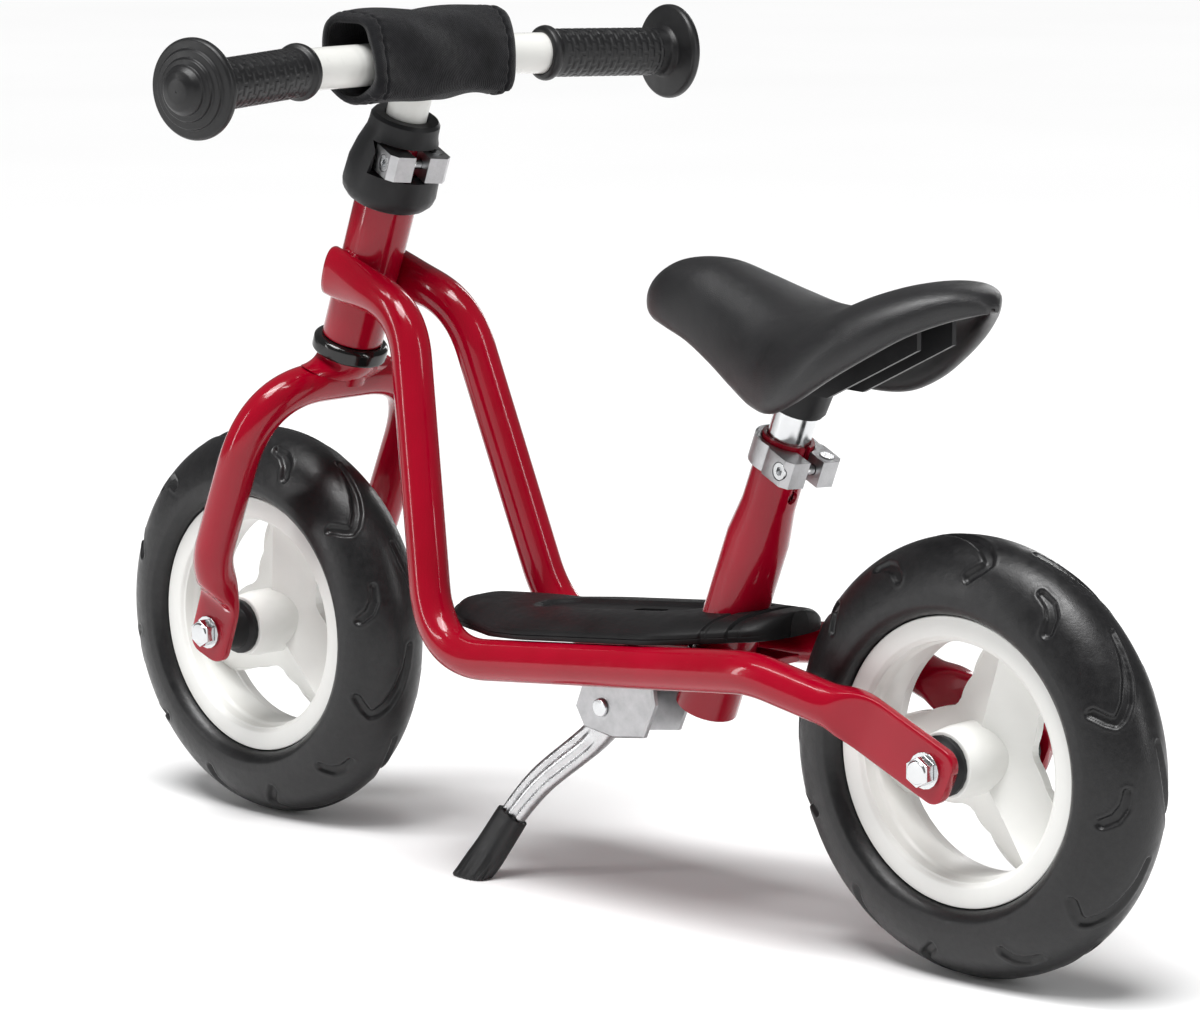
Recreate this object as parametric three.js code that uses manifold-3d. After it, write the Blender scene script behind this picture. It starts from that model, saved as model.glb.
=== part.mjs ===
// Balance bike for small children, rest pose: wheels and kickstand foot on z = 0, steering straight.
// Millimetres, +X forward, +Y left, +Z up; the origin is on the ground midway between the axles.
import * as THREE from 'three';
import { mergeVertices } from 'three/addons/utils/BufferGeometryUtils.js';
import Module from 'manifold-3d';

const wasm = await Module();
wasm.setup();

// ---- driving dimensions ----
const WHEELBASE = 500;
const TYRE_OD = 215;
const TYRE_WIDTH = 50;
const AXLE_Z = TYRE_OD / 2;
const REAR_X = -WHEELBASE / 2;
const FRONT_X = WHEELBASE / 2;

const HEAD_ANGLE = 70;                       // degrees from the ground
const HEAD_BASE = new THREE.Vector3(184.9, 0, 270.8);  // lower end of the head tube, on its axis
const HEAD_TUBE = { outer: 16.5, inner: 14, length: 80 };
const STEERER = { outer: 12.7, inner: 11.3, top: 119 };
const BAR_RADIUS = 11;
const BAR_CENTRE = new THREE.Vector3(129.5, 0, 421.5);
const BAR_BEND_Y = 72;
const GRIP_LENGTH = 87;
const DISC_CENTRE = new THREE.Vector3(112, 172.3, 418); // middle of the left grip's safety disc

const SEAT_ANGLE = 69;
const SEAT_BASE = new THREE.Vector3(-73.4, 0, 106);     // lower end of the seat tube, on its axis
const SEAT_TUBE_LENGTH = 154;
const POST_RADIUS = 11;

const RAIL_Y = 46;
const TUBE_RADIUS = 10.8;
const FORK_HALF_SPREAD = 61;
const FORK_OFFSET = 4.7;
const DROPOUT = { rearInner: 34, frontInner: 44, thickness: 5.6, radius: 14.5 };

const HUB_HALF = 26;
const GAP = 0.3;

const KICK_PIVOT = new THREE.Vector3(-14, 0, 99);
const FOOT_CENTRE = new THREE.Vector3(63, 33, 0);

// ---- materials ----
const PAINT = { color: 0xa30c22, roughness: 0.25, metalness: 0.1 };
const WHITE_PAINT = { color: 0xf0f0ec, roughness: 0.3, metalness: 0.0 };
const WHITE_PLASTIC = { color: 0xf2f2f0, roughness: 0.45, metalness: 0.0 };
const BLACK_PLASTIC = { color: 0x1b1b1d, roughness: 0.6, metalness: 0.0 };
const GLOSS_BLACK = { color: 0x101012, roughness: 0.2, metalness: 0.0 };
const RUBBER = { color: 0x1a1a1b, roughness: 0.75, metalness: 0.0 };
const FOAM = { color: 0x1c1c1e, roughness: 0.7, metalness: 0.0 };
const FABRIC = { color: 0x141416, roughness: 0.95, metalness: 0.0 };
const ALUMINIUM = { color: 0xb9bbbd, roughness: 0.35, metalness: 0.9 };
const ZINC = { color: 0xcfd3d6, roughness: 0.25, metalness: 1.0 };
const STEEL = { color: 0xa9abad, roughness: 0.3, metalness: 1.0 };

// ---- helpers ----
const group = new THREE.Group();
group.name = 'balance_bike';

const v3 = (x, y, z) => new THREE.Vector3(x, y, z);
const rad = (degrees) => (degrees * Math.PI) / 180;
const mix = (a, b, t) => a + (b - a) * t;

function smooth(from, to, value) {
  const t = Math.min(1, Math.max(0, (value - from) / (to - from)));
  return t * t * (3 - 2 * t);
}

function welded(geometry) {
  const plain = geometry.clone();
  plain.deleteAttribute('normal');
  plain.deleteAttribute('uv');
  return mergeVertices(plain, 1e-4);
}

// A geometry as a manifold solid with its faces turned outwards.
function solid(geometry) {
  const clean = welded(geometry);
  const positions = clean.attributes.position;
  const index = clean.index.array;
  let volume = 0;
  for (let i = 0; i < index.length; i += 3) {
    const a = v3().fromBufferAttribute(positions, index[i]);
    const b = v3().fromBufferAttribute(positions, index[i + 1]);
    const c = v3().fromBufferAttribute(positions, index[i + 2]);
    volume += a.dot(b.cross(c));
  }
  const triangles = new Uint32Array(index);
  if (volume < 0) {
    for (let i = 0; i < triangles.length; i += 3) {
      const keep = triangles[i];
      triangles[i] = triangles[i + 1];
      triangles[i + 1] = keep;
    }
  }
  const mesh = new wasm.Mesh({
    numProp: 3,
    vertProperties: new Float32Array(positions.array),
    triVerts: triangles,
  });
  return new wasm.Manifold(mesh);
}

function join(...geometries) {
  return geometries.slice(1).reduce((sum, next) => sum.add(solid(next)), solid(geometries[0]));
}

function cut(body, ...tools) {
  return tools.reduce((rest, tool) => rest.subtract(solid(tool)), body);
}

// The main piece of a cut body, without the slivers a cut leaves behind.
function largest(body) {
  return body.decompose().reduce((big, piece) => (piece.volume() > big.volume() ? piece : big));
}

function geometryOf(body) {
  const mesh = body.getMesh();
  const geometry = new THREE.BufferGeometry();
  geometry.setAttribute('position', new THREE.BufferAttribute(mesh.vertProperties, 3));
  geometry.setIndex(new THREE.BufferAttribute(mesh.triVerts, 1));
  return geometry;
}

function add(name, shape, look) {
  const body = shape.isBufferGeometry ? solid(shape) : shape;
  const geometry = geometryOf(body);
  geometry.computeVertexNormals();
  const mesh = new THREE.Mesh(geometry, new THREE.MeshStandardMaterial(look));
  mesh.name = name;
  group.add(mesh);
}

function mirrored(geometry) {
  return geometry.clone().scale(1, -1, 1);
}

// A closed profile of [radius, height] pairs turned about the local Y axis.
function turned(profile, segments = 24) {
  const points = profile.map(([r, y]) => new THREE.Vector2(r, y));
  points.push(points[0].clone());
  return new THREE.LatheGeometry(points, segments);
}

// A solid of revolution whose profile starts and ends on the axis.
function turnedSolid(profile, segments = 24) {
  const points = profile.map(([r, y]) => new THREE.Vector2(r, y));
  return new THREE.LatheGeometry(points, segments);
}

function pipe(outer, inner, from, to, segments = 24) {
  return turned([[inner, from], [outer, from], [outer, to], [inner, to]], segments);
}

function rod(radius, from, to, segments = 24) {
  return new THREE.CylinderGeometry(radius, radius, to - from, segments).translate(0, (from + to) / 2, 0);
}

function block(x0, x1, y0, y1, z0, z1) {
  const box = new THREE.BoxGeometry(x1 - x0, y1 - y0, z1 - z0);
  return box.translate((x0 + x1) / 2, (y0 + y1) / 2, (z0 + z1) / 2);
}

// Local frame of a leaning tube: x forward, y up the tube, z to the right of the bike.
function leaning(angle, origin) {
  const forward = v3(Math.sin(rad(angle)), 0, Math.cos(rad(angle)));
  const up = v3(-Math.cos(rad(angle)), 0, Math.sin(rad(angle)));
  const frame = new THREE.Matrix4().makeBasis(forward, up, v3(0, -1, 0));
  return frame.setPosition(origin);
}

const headFrame = leaning(HEAD_ANGLE, HEAD_BASE);
const seatFrame = leaning(SEAT_ANGLE, SEAT_BASE);
const atHead = (geometry) => geometry.applyMatrix4(headFrame);
const atSeat = (geometry) => geometry.applyMatrix4(seatFrame);
const headPoint = (x, s, right) => v3(x, s, right).applyMatrix4(headFrame);

// One ring of a loft: a superellipse around a centre, spanned by two unit directions.
function ringAt(centre, sideways, upwards, half, square, count) {
  const points = [];
  for (let i = 0; i < count; i += 1) {
    const angle = (i / count) * 2 * Math.PI;
    const c = Math.cos(angle);
    const s = Math.sin(angle);
    const across = half[0] * Math.sign(c) * Math.abs(c) ** (2 / square);
    const along = half[1] * Math.sign(s) * Math.abs(s) ** (2 / square);
    points.push(centre.clone().addScaledVector(sideways, across).addScaledVector(upwards, along));
  }
  return points;
}

// Closed body through equal-count rings, capped at both ends.
function loft(rings) {
  const count = rings[0].length;
  const positions = [];
  const index = [];
  rings.forEach((ring) => ring.forEach((p) => positions.push(p.x, p.y, p.z)));
  for (let r = 0; r + 1 < rings.length; r += 1) {
    for (let i = 0; i < count; i += 1) {
      const a = r * count + i;
      const b = r * count + ((i + 1) % count);
      index.push(a, b, b + count, a, b + count, a + count);
    }
  }
  capRing(rings[0], 0, true, positions, index);
  capRing(rings.at(-1), (rings.length - 1) * count, false, positions, index);
  const geometry = new THREE.BufferGeometry();
  geometry.setAttribute('position', new THREE.Float32BufferAttribute(positions, 3));
  geometry.setIndex(index);
  return geometry;
}

function capRing(ring, first, flip, positions, index) {
  const centre = ring.reduce((sum, p) => sum.add(p), v3(0, 0, 0)).divideScalar(ring.length);
  const middle = positions.length / 3;
  positions.push(centre.x, centre.y, centre.z);
  for (let i = 0; i < ring.length; i += 1) {
    const a = first + i;
    const b = first + ((i + 1) % ring.length);
    index.push(...(flip ? [b, a, middle] : [a, b, middle]));
  }
}

// Straight runs joined by bends, like a tube off a bender.
function bentPath(points, radii) {
  const path = new THREE.CurvePath();
  let start = points[0];
  for (let i = 1; i + 1 < points.length; i += 1) {
    const back = points[i - 1].clone().sub(points[i]).normalize();
    const on = points[i + 1].clone().sub(points[i]).normalize();
    const reach = radii[i - 1] * Math.tan((Math.PI - back.angleTo(on)) / 2);
    const from = points[i].clone().addScaledVector(back, reach);
    const to = points[i].clone().addScaledVector(on, reach);
    path.add(new THREE.LineCurve3(start, from));
    path.add(new THREE.QuadraticBezierCurve3(from, points[i], to));
    start = to;
  }
  path.add(new THREE.LineCurve3(start, points.at(-1)));
  return path;
}

// Fractions of a bent path's length: a few on every straight run, more on every bend.
function stationsOf(path, straightStep, bendSteps) {
  const lengths = path.curves.map((curve) => curve.getLength());
  const total = lengths.reduce((sum, length) => sum + length, 0);
  const fractions = [0];
  let passed = 0;
  path.curves.forEach((curve, i) => {
    const steps = curve.isLineCurve3 ? Math.max(1, Math.round(lengths[i] / straightStep)) : bendSteps;
    for (let k = 1; k <= steps; k += 1) fractions.push((passed + (lengths[i] * k) / steps) / total);
    passed += lengths[i];
  });
  return fractions;
}

// Sweeps a changing section along a path. The section's first axis stays close to `direction`.
function swept(path, fractions, direction, sectionAt, count = 14) {
  const rings = fractions.map((f) => {
    const tangent = path.getTangentAt(f);
    const sideways = direction.clone().addScaledVector(tangent, -direction.dot(tangent)).normalize();
    const upwards = tangent.clone().cross(sideways);
    const section = sectionAt(f);
    return ringAt(path.getPointAt(f), sideways, upwards, section.half, section.square ?? 2, count);
  });
  return loft(rings);
}

const evenly = (steps) => Array.from({ length: steps + 1 }, (_, i) => i / steps);

// ---- wheels ----
function wheelTyre() {
  const profile = [[60.4, -14.5], [71.2, -14.5], [71.2, -19], [74.4, -23.6]];
  for (let i = 0; i <= 9; i += 1) {
    const angle = rad(-84 + (168 / 9) * i);
    profile.push([76 + 31.5 * Math.cos(angle), (TYRE_WIDTH / 2) * Math.sin(angle)]);
  }
  profile.push([74.4, 23.6], [71.2, 19], [71.2, 14.5], [60.4, 14.5]);
  return turned(profile, 42);
}

function spoke() {
  // Roof-shaped arm: a ridge down the middle of each face, highest at the hub.
  const rings = [[8, 17, 19], [22, 17, 17.5], [40, 17.5, 13.5], [59, 19, 10]].map(([r, half, ridge]) => [
    v3(r, ridge, 0), v3(r, 3, half), v3(r, -3, half), v3(r, -ridge, 0), v3(r, -3, -half), v3(r, 3, -half),
  ]);
  return loft(rings);
}

function wheelRim(turn) {
  const barrel = turned([
    [59.9, -14.8], [70.7, -14.8], [70.7, -17.8], [60.7, -17.8], [58.4, -15.6], [58.2, -10], [56.8, -8],
    [56.8, 8], [58.2, 10], [58.4, 15.6], [60.7, 17.8], [70.7, 17.8], [70.7, 14.8], [59.9, 14.8],
  ], 40);
  const hub = turnedSolid([[0, -HUB_HALF], [16.4, -HUB_HALF], [17.8, -15], [17.8, 15], [16.4, HUB_HALF],
    [0, HUB_HALF]], 20);
  const arms = [0, 120, 240].map((angle) => geometryOf(
    solid(spoke()).intersect(solid(rod(58, -30, 30, 40))),
  ).rotateY(-rad(turn + angle)));
  const bore = rod(11.3, -HUB_HALF - 1, HUB_HALF + 1, 20);
  return cut(join(barrel, hub, ...arms), bore);
}

function axleBolt(inner) {
  const face = inner + DROPOUT.thickness;
  const head = new THREE.CylinderGeometry(7.4, 7.4, 5, 6).translate(0, face + 4.2, 0);
  const dome = turnedSolid([[0, face + 6], [6.2, face + 6], [5.4, face + 7.4], [0, face + 8]], 18);
  const shank = rod(3.9, inner - 16, face + 3, 16);
  return join(head, dome, shank);
}

function wheel(label, x, inner, turn) {
  const place = (shape) => shape.translate(x, 0, AXLE_Z);
  const put = (name, geometry, look) => add(`${label}_${name}`, place(geometry), look);
  put('tyre', wheelTyre(), FOAM);
  add(`${label}_rim`, wheelRim(turn).translate([x, 0, AXLE_Z]), WHITE_PLASTIC);
  put('axle', pipe(7, 4.2, -inner + GAP, inner - GAP, 18), STEEL);
  [['left', 1], ['right', -1]].forEach(([side, sign]) => {
    const facing = (geometry) => (sign > 0 ? geometry : mirrored(geometry));
    put(`bearing_${side}`, facing(pipe(11, 7.3, 17, 25.4, 18)), STEEL);
    const cover = turned([[7.3, HUB_HALF + 0.4], [15, HUB_HALF + 0.4], [15, HUB_HALF + 3],
      [12, HUB_HALF + 5], [10.5, inner - 0.6], [7.3, inner - 0.6]], 20);
    put(`hub_cover_${side}`, facing(cover), BLACK_PLASTIC);
    const washer = pipe(9, 4.2, inner + DROPOUT.thickness + 0.1, inner + DROPOUT.thickness + 1.5, 16);
    put(`axle_washer_${side}`, facing(washer), ZINC);
    add(`${label}_axle_bolt_${side}`, solid(place(facing(geometryOf(axleBolt(inner))))), ZINC);
  });
}

// ---- frame ----
const railZ = (x) => 129.5 - 0.105 * (x + 40);

function frameTubePath() {
  const rearPlateY = DROPOUT.rearInner + DROPOUT.thickness / 2;
  const points = [
    v3(181, 18.5, 309), v3(120.5, 20, 292), v3(74.5, RAIL_Y + 1, railZ(74.5)), v3(-146, RAIL_Y, railZ(-146)),
    v3(-206, rearPlateY, 126), v3(REAR_X, rearPlateY, AXLE_Z),
  ];
  return bentPath(points, [44, 44, 60, 60]);
}

function frameTube() {
  const section = (f) => {
    const front = 1 - smooth(0, 0.09, f);
    const rear = smooth(0.8, 0.93, f);
    const half = mix(mix(TUBE_RADIUS, 6, front), DROPOUT.thickness / 2, rear);
    const tall = mix(mix(TUBE_RADIUS, 13.5, front), DROPOUT.radius, rear);
    return { half: [half, tall], square: 2 + 1.6 * Math.max(front, rear) };
  };
  const path = frameTubePath();
  const tube = swept(path, stationsOf(path, 26, 5), v3(0, 1, 0), section, 12);
  const mid = DROPOUT.rearInner + DROPOUT.thickness / 2;
  const half = DROPOUT.thickness / 2;
  const eye = rod(DROPOUT.radius, mid - half, mid + half, 28).translate(REAR_X, 0, AXLE_Z);
  const hole = rod(4.2, 20, 60, 16).translate(REAR_X, 0, AXLE_Z);
  const headClearance = atHead(rod(HEAD_TUBE.outer + GAP, -30, HEAD_TUBE.length + 30, 32));
  return cut(join(tube, eye), hole, headClearance);
}

function seatTube() {
  const bore = POST_RADIUS + GAP;
  const body = turned([
    [14.4, 0], [16, 0], [16, 98], [13.6, 117], [13.4, SEAT_TUBE_LENGTH], [bore, SEAT_TUBE_LENGTH],
    [bore, 115], [14.4, 97],
  ], 28);
  const slot = block(-20, -2, 128, SEAT_TUBE_LENGTH + 2, -1.6, 1.6);
  const slotEnd = rod(3.2, -20, -2, 12).rotateZ(Math.PI / 2).translate(-22, 126, 0);
  return cut(solid(body), slot, slotEnd);
}

function crossplate(x0, x1, z0, z1, hole) {
  const plate = block(x0, x1, -31.5, 31.5, z0, z1);
  return hole ? cut(solid(plate), hole) : solid(plate);
}

// ---- footboard ----
const BOARD = { front: 100, rear: -136, half: 49 };
const BOARD_SLOPE = Math.atan(0.105);

// Half widths of the board's nose, from where it starts to narrow to its tip.
const BOARD_NOSE = [
  [10, 49], [25, 46.5], [40, 42.5], [55, 37.5], [70, 31.5], [82, 25], [91, 17.5], [97, 9], [100, 2],
];

function boardHalfWidth(x) {
  if (x > BOARD_NOSE[0][0]) {
    const i = BOARD_NOSE.findIndex(([at]) => at >= x - 1e-6);
    const [from, wide] = BOARD_NOSE[i - 1];
    const [to, narrow] = BOARD_NOSE[i];
    return mix(wide, narrow, (x - from) / (to - from));
  }
  if (x > -70) return BOARD.half;
  const t = (-70 - x) / (-70 - BOARD.rear);
  return mix(BOARD.half, 30, smooth(0, 0.9, t)) * Math.sqrt(Math.max(0.05, 1 - t ** 9));
}

function footboard() {
  const rings = [];
  const steps = 20;
  for (let i = 0; i <= steps; i += 1) {
    const t = (1 - Math.cos((i / steps) * Math.PI)) / 2;
    const x = mix(BOARD.front, BOARD.rear, t);
    const half = boardHalfWidth(x);
    const base = railZ(Math.min(x, 40)) + TUBE_RADIUS + 0.5 - 1.5 * smooth(45, 100, x);
    rings.push(boardRing(x, half, base, 6.5, 12.5));
  }
  const seatHole = atSeat(rod(16.8, -10, 80, 28));
  const recess = stadium(42, -72, 15, 20).rotateY(BOARD_SLOPE).translate(0, 0, railZ(0) + TUBE_RADIUS + 10.8);
  const slot = stadium(-24, -46, 4, 30).translate(0, 0, railZ(-35) + TUBE_RADIUS - 10);
  const grooves = [[-104, 1.4, 158.4], [-118, 2.8, 159.4]]
    .map(([x, half, z]) => block(x - half, x + half, -60, 60, z, 172));
  return cut(solid(loft(rings)), seatHole, recess, slot, ...grooves);
}

function boardRing(x, half, base, edge, crown) {
  const profile = [[-0.97, 0], [-1, 0.25], [-1, 0.8], [-0.93, 1]];
  const points = profile.map(([a, b]) => v3(x, -a * half, base + b * edge));
  for (let i = 1; i < 8; i += 1) {
    const a = -0.93 + 0.2325 * i;
    points.push(v3(x, -a * half, base + edge + (crown - edge) * (1 - (a / 0.93) ** 4)));
  }
  [...profile].reverse().forEach(([a, b]) => points.push(v3(x, a * half, base + b * edge)));
  return points;
}

// Upright slab with round ends between two X positions, standing on its own z = 0.
function stadium(x1, x0, radius, height) {
  const shape = new THREE.Shape();
  shape.absarc(x0 + radius, 0, radius, Math.PI / 2, (3 * Math.PI) / 2, false);
  shape.absarc(x1 - radius, 0, radius, -Math.PI / 2, Math.PI / 2, false);
  return new THREE.ExtrudeGeometry(shape, { depth: height, bevelEnabled: false, curveSegments: 6 });
}

// ---- fork and steering ----
function forkPath() {
  const plate = DROPOUT.frontInner + DROPOUT.thickness / 2;
  const spots = [[plate, -175.7], [plate, -156], [FORK_HALF_SPREAD, -128], [FORK_HALF_SPREAD, -25]];
  const point = ([w, s]) => headPoint(FORK_OFFSET * smooth(-40, -110, s), s, -w);
  const left = spots.map(point);
  const right = [...spots].reverse().map(([w, s]) => point([-w, s]));
  return bentPath([...left, ...right], [24, 40, 46, 46, 40, 24]);
}

function forkBlades() {
  const forward = v3(Math.sin(rad(HEAD_ANGLE)), 0, Math.cos(rad(HEAD_ANGLE)));
  const section = (f) => {
    const end = 1 - smooth(0.05, 0.15, Math.min(f, 1 - f));
    const deep = mix(TUBE_RADIUS, DROPOUT.radius, end);
    const thin = mix(TUBE_RADIUS, DROPOUT.thickness / 2, end);
    return { half: [deep, thin], square: 2 + 1.6 * end };
  };
  const path = forkPath();
  const tube = swept(path, stationsOf(path, 20, 4), forward, section, 12);
  const mid = DROPOUT.frontInner + DROPOUT.thickness / 2;
  const half = DROPOUT.thickness / 2;
  const eyes = [1, -1].map((sign) => rod(DROPOUT.radius, sign * mid - half, sign * mid + half, 28)
    .translate(FRONT_X, 0, AXLE_Z));
  const hole = rod(4.2, -70, 70, 16).translate(FRONT_X, 0, AXLE_Z);
  return cut(join(tube, ...eyes), hole);
}

function archClearance() {
  return atHead(rod(TUBE_RADIUS + GAP, -40, 40, 24).rotateX(Math.PI / 2).translate(0, -25, 0));
}

function steererTube() {
  const tube = atHead(pipe(STEERER.outer, STEERER.inner, -24, STEERER.top, 28));
  const slot = atHead(block(-20, -2, 88, STEERER.top + 2, -1.5, 1.5));
  return cut(solid(tube), archClearance(), slot);
}

function crownCone() {
  const bore = STEERER.outer + GAP;
  const cone = atHead(turned([[bore, -20], [17.5, -20], [15.5, -9.8], [bore, -9.8]]));
  return cut(solid(cone), archClearance());
}

function headsetCover() {
  const outer = turnedSolid([
    [0, 81.5], [21.5, 81.5], [24.6, 85], [25.6, 89], [25, 101], [22.6, 111], [19.4, 120], [19, 123],
    [18.8, 127.5], [17.4, 129.5], [0, 129.5],
  ], 28);
  const lowBore = rod(20.8, 80, 91, 28);
  const midBore = rod(16.9, 80, 117, 24);
  const topBore = rod(STEERER.outer + 0.5, 80, 120.5, 28);
  const lipBore = rod(BAR_RADIUS + 0.9, 80, 140, 28);
  const core = rod(18.4, 90, 125, 28);
  const window = cut(solid(block(-40, -5, 100.5, 117.5, -40, 40)), core);
  const lugPath = block(-40, -1.5, 101.2, 116.8, -19.8, 19.8).rotateY(rad(-14));
  const body = cut(solid(outer), lowBore, midBore, topBore, lipBore, lugPath).subtract(window);
  return solid(atHead(geometryOf(body)));
}

// Split clamp with two lugs at the back, a cross bolt and a barrel nut standing in the right lug.
function clampParts(place, size) {
  const { inner, outer, from, to, back, half, turn } = size;
  const middle = (from + to) / 2;
  const boltX = -inner - 4.2;
  const ring = pipe(outer, inner, from, to, 28);
  const lugs = block(-back, -3, from, to, -half, half);
  const bore = rod(inner, from - 1, to + 1, 28);
  const split = block(-back - 1, 0, from - 1, to + 1, -4.2, 4.2);
  const across = (radius, z0, z1) => rod(radius, z0, z1, 16).rotateX(Math.PI / 2)
    .translate(boltX, middle, 0);
  const boltHole = across(2.9, -half - 1, half + 1);
  const headSeat = across(4.7, -half - 1, -half + 3.6);
  const nutAt = half - 6.5;
  const nutSeat = rod(3.9, from - 1, to + 1, 16).translate(boltX, 0, nutAt);
  const corner = block(-6, 6, from - 1, to + 1, -6, 6).rotateY(rad(45));
  const bevels = [-1, 1].flatMap((side) => [
    corner.clone().translate(-back - 2.6, 0, side * (half + 2.6)),
    corner.clone().scale(1.6, 1, 1).translate(3, 0, side * (half + 2)),
  ]);
  const trimmed = geometryOf(cut(solid(lugs), ...bevels));
  const tighten = (body) => solid(place(geometryOf(body).rotateY(rad(-turn))));
  const clamp = tighten(largest(cut(join(ring, trimmed), bore, split, boltHole, headSeat, nutSeat)));
  const socket = new THREE.CylinderGeometry(2.2, 2.2, 5, 6).rotateX(Math.PI / 2)
    .translate(boltX, middle, -half + 0.2);
  const screw = join(across(4.4, -half + 0.2, -half + 3.3), across(2.5, -half + 3, nutAt + 3));
  const bolt = tighten(cut(screw, socket));
  const barrel = rod(3.6, from - 0.4, to + 0.4, 16).translate(boltX, 0, nutAt);
  const nut = tighten(cut(solid(barrel), across(2.7, -half, nutAt + 3.2)));
  return { clamp, bolt, nut };
}

function stemTube() {
  const tube = atHead(pipe(BAR_RADIUS, 9.4, 42, 175, 24));
  const barSpace = rod(BAR_RADIUS + GAP, -40, 40, 40).translate(BAR_CENTRE.x, 0, BAR_CENTRE.z);
  const above = block(60, 200, -40, 40, BAR_CENTRE.z, BAR_CENTRE.z + 80);
  return cut(solid(tube), barSpace, above);
}

function barEndDirection() {
  return DISC_CENTRE.clone().sub(v3(BAR_CENTRE.x, BAR_BEND_Y, BAR_CENTRE.z)).normalize();
}

function crossbar() {
  const corner = v3(BAR_CENTRE.x, BAR_BEND_Y, BAR_CENTRE.z);
  const end = DISC_CENTRE.clone().addScaledVector(barEndDirection(), 1);
  const flip = (p) => v3(p.x, -p.y, p.z);
  const path = bentPath([flip(end), flip(corner), corner, end], [60, 60]);
  return swept(path, stationsOf(path, 200, 5), v3(0, 0, 1), () => ({ half: [BAR_RADIUS, BAR_RADIUS] }), 20);
}

function grip() {
  const start = -GRIP_LENGTH;
  const bore = BAR_RADIUS + 0.25;
  const body = turnedSolid([
    [0, 14], [6, 13.4], [10, 11.8], [12.3, 9.2], [12.6, 7.4], [15.6, 7], [16, 4.8], [19.8, 4.6], [20.2, 2.6],
    [24.6, 2.2], [25.6, 0.6], [25.6, -1.8], [24.6, -3.4], [14, -4.6], [12.7, -7.5], [12.7, start + 6.5],
    [14.6, start + 5], [15, start + 3], [14.4, start + 0.8], [13, start], [0, start],
  ], 20);
  const hollow = rod(bore, start - 5, 2, 20);
  const pointing = new THREE.Quaternion().setFromUnitVectors(v3(0, 1, 0), barEndDirection());
  const shaped = geometryOf(cut(solid(body), hollow));
  return shaped.applyQuaternion(pointing).translate(DISC_CENTRE.x, DISC_CENTRE.y, DISC_CENTRE.z);
}

function barPad() {
  const middle = (y) => v3(BAR_CENTRE.x, y, BAR_CENTRE.z + 3.5);
  const ring = (y, deep, tall, square) => (
    ringAt(middle(y), v3(1, 0, 0), v3(0, 0, 1), [deep, tall], square, 28));
  const outer = loft([ring(-50, 20.5, 23, 2.4), ring(-47, 22, 24.5, 2.6), ring(47, 22, 24.5, 2.6),
    ring(50, 20.5, 23, 2.4)]);
  const inner = loft([ring(-60, 14.5, 15, 2.2), ring(60, 14.5, 15, 2.2)]);
  const stemSpace = atHead(rod(BAR_RADIUS + 1.2, 100, 160, 24));
  return cut(solid(outer), inner, stemSpace);
}

// ---- saddle ----
// Stations along the saddle: x, half width, crown height, edge height.
const SADDLE = [
  [-42, 4, 314, 308], [-46, 14, 322, 305], [-54, 21, 329, 302.5], [-66, 26, 333.5, 300],
  [-85, 30, 334, 294.5], [-105, 34.5, 329, 285.5], [-125, 41, 323, 276.5], [-145, 49, 317.5, 270],
  [-163, 56.5, 316.5, 270], [-180, 59, 320.5, 277.5], [-198, 56, 327.5, 289.5], [-215, 48, 332.5, 301],
  [-230, 37, 334.5, 311], [-243, 23, 334, 317.5], [-252, 11, 330.5, 320.5], [-256, 5, 326, 321.5],
];

function saddleShell(extra = 0) {
  const wall = 11.5 + extra;
  const rings = SADDLE.map(([x, half, crown, edge]) => {
    const depth = crown - edge;
    const hollow = smooth(14, 34, Math.min(half, depth * 1.6));
    const innerHalf = half - wall;
    const innerTall = Math.max(1, (depth - wall) * hollow);
    const points = [];
    for (let i = 0; i <= 14; i += 1) {
      const angle = (i / 14) * Math.PI;
      const c = Math.cos(angle);
      points.push(v3(x, half * Math.sign(c) * Math.abs(c) ** 0.85, edge + depth * Math.sin(angle) ** 0.9));
    }
    const innerWidth = Math.max(half * 0.3, innerHalf);
    for (let i = 8; i >= 0; i -= 1) {
      const angle = (i / 8) * Math.PI;
      points.push(v3(x, innerWidth * Math.cos(angle), edge + innerTall * Math.sin(angle) ** 0.9));
    }
    return points;
  });
  return loft(rings);
}

function saddleBase() {
  const bore = POST_RADIUS + 0.2;
  const socket = atSeat(turned([[bore, 171], [14.2, 171], [15.6, 188], [17.5, 214], [bore, 214]]));
  const collar = atSeat(pipe(13, bore, 169, 200, 24));
  const ribs = [-1, 1].map((side) => {
    const shape = new THREE.Shape();
    shape.moveTo(-136, 275);
    shape.lineTo(-166, 274);
    shape.lineTo(-222, 302);
    shape.lineTo(-222, 332);
    shape.lineTo(-136, 324);
    const rib = new THREE.ExtrudeGeometry(shape, { depth: 3, bevelEnabled: false });
    return rib.rotateX(Math.PI / 2).translate(0, side * 13 + 1.5, 0);
  });
  const tie = block(-160, -128, -14, 14, 288, 330);
  const postSpace = atSeat(rod(POST_RADIUS + 0.2, 100, 204, 24));
  const body = cut(join(socket, collar, tie, ...ribs), postSpace, saddleShell(0.4));
  return largest(body);
}

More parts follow.
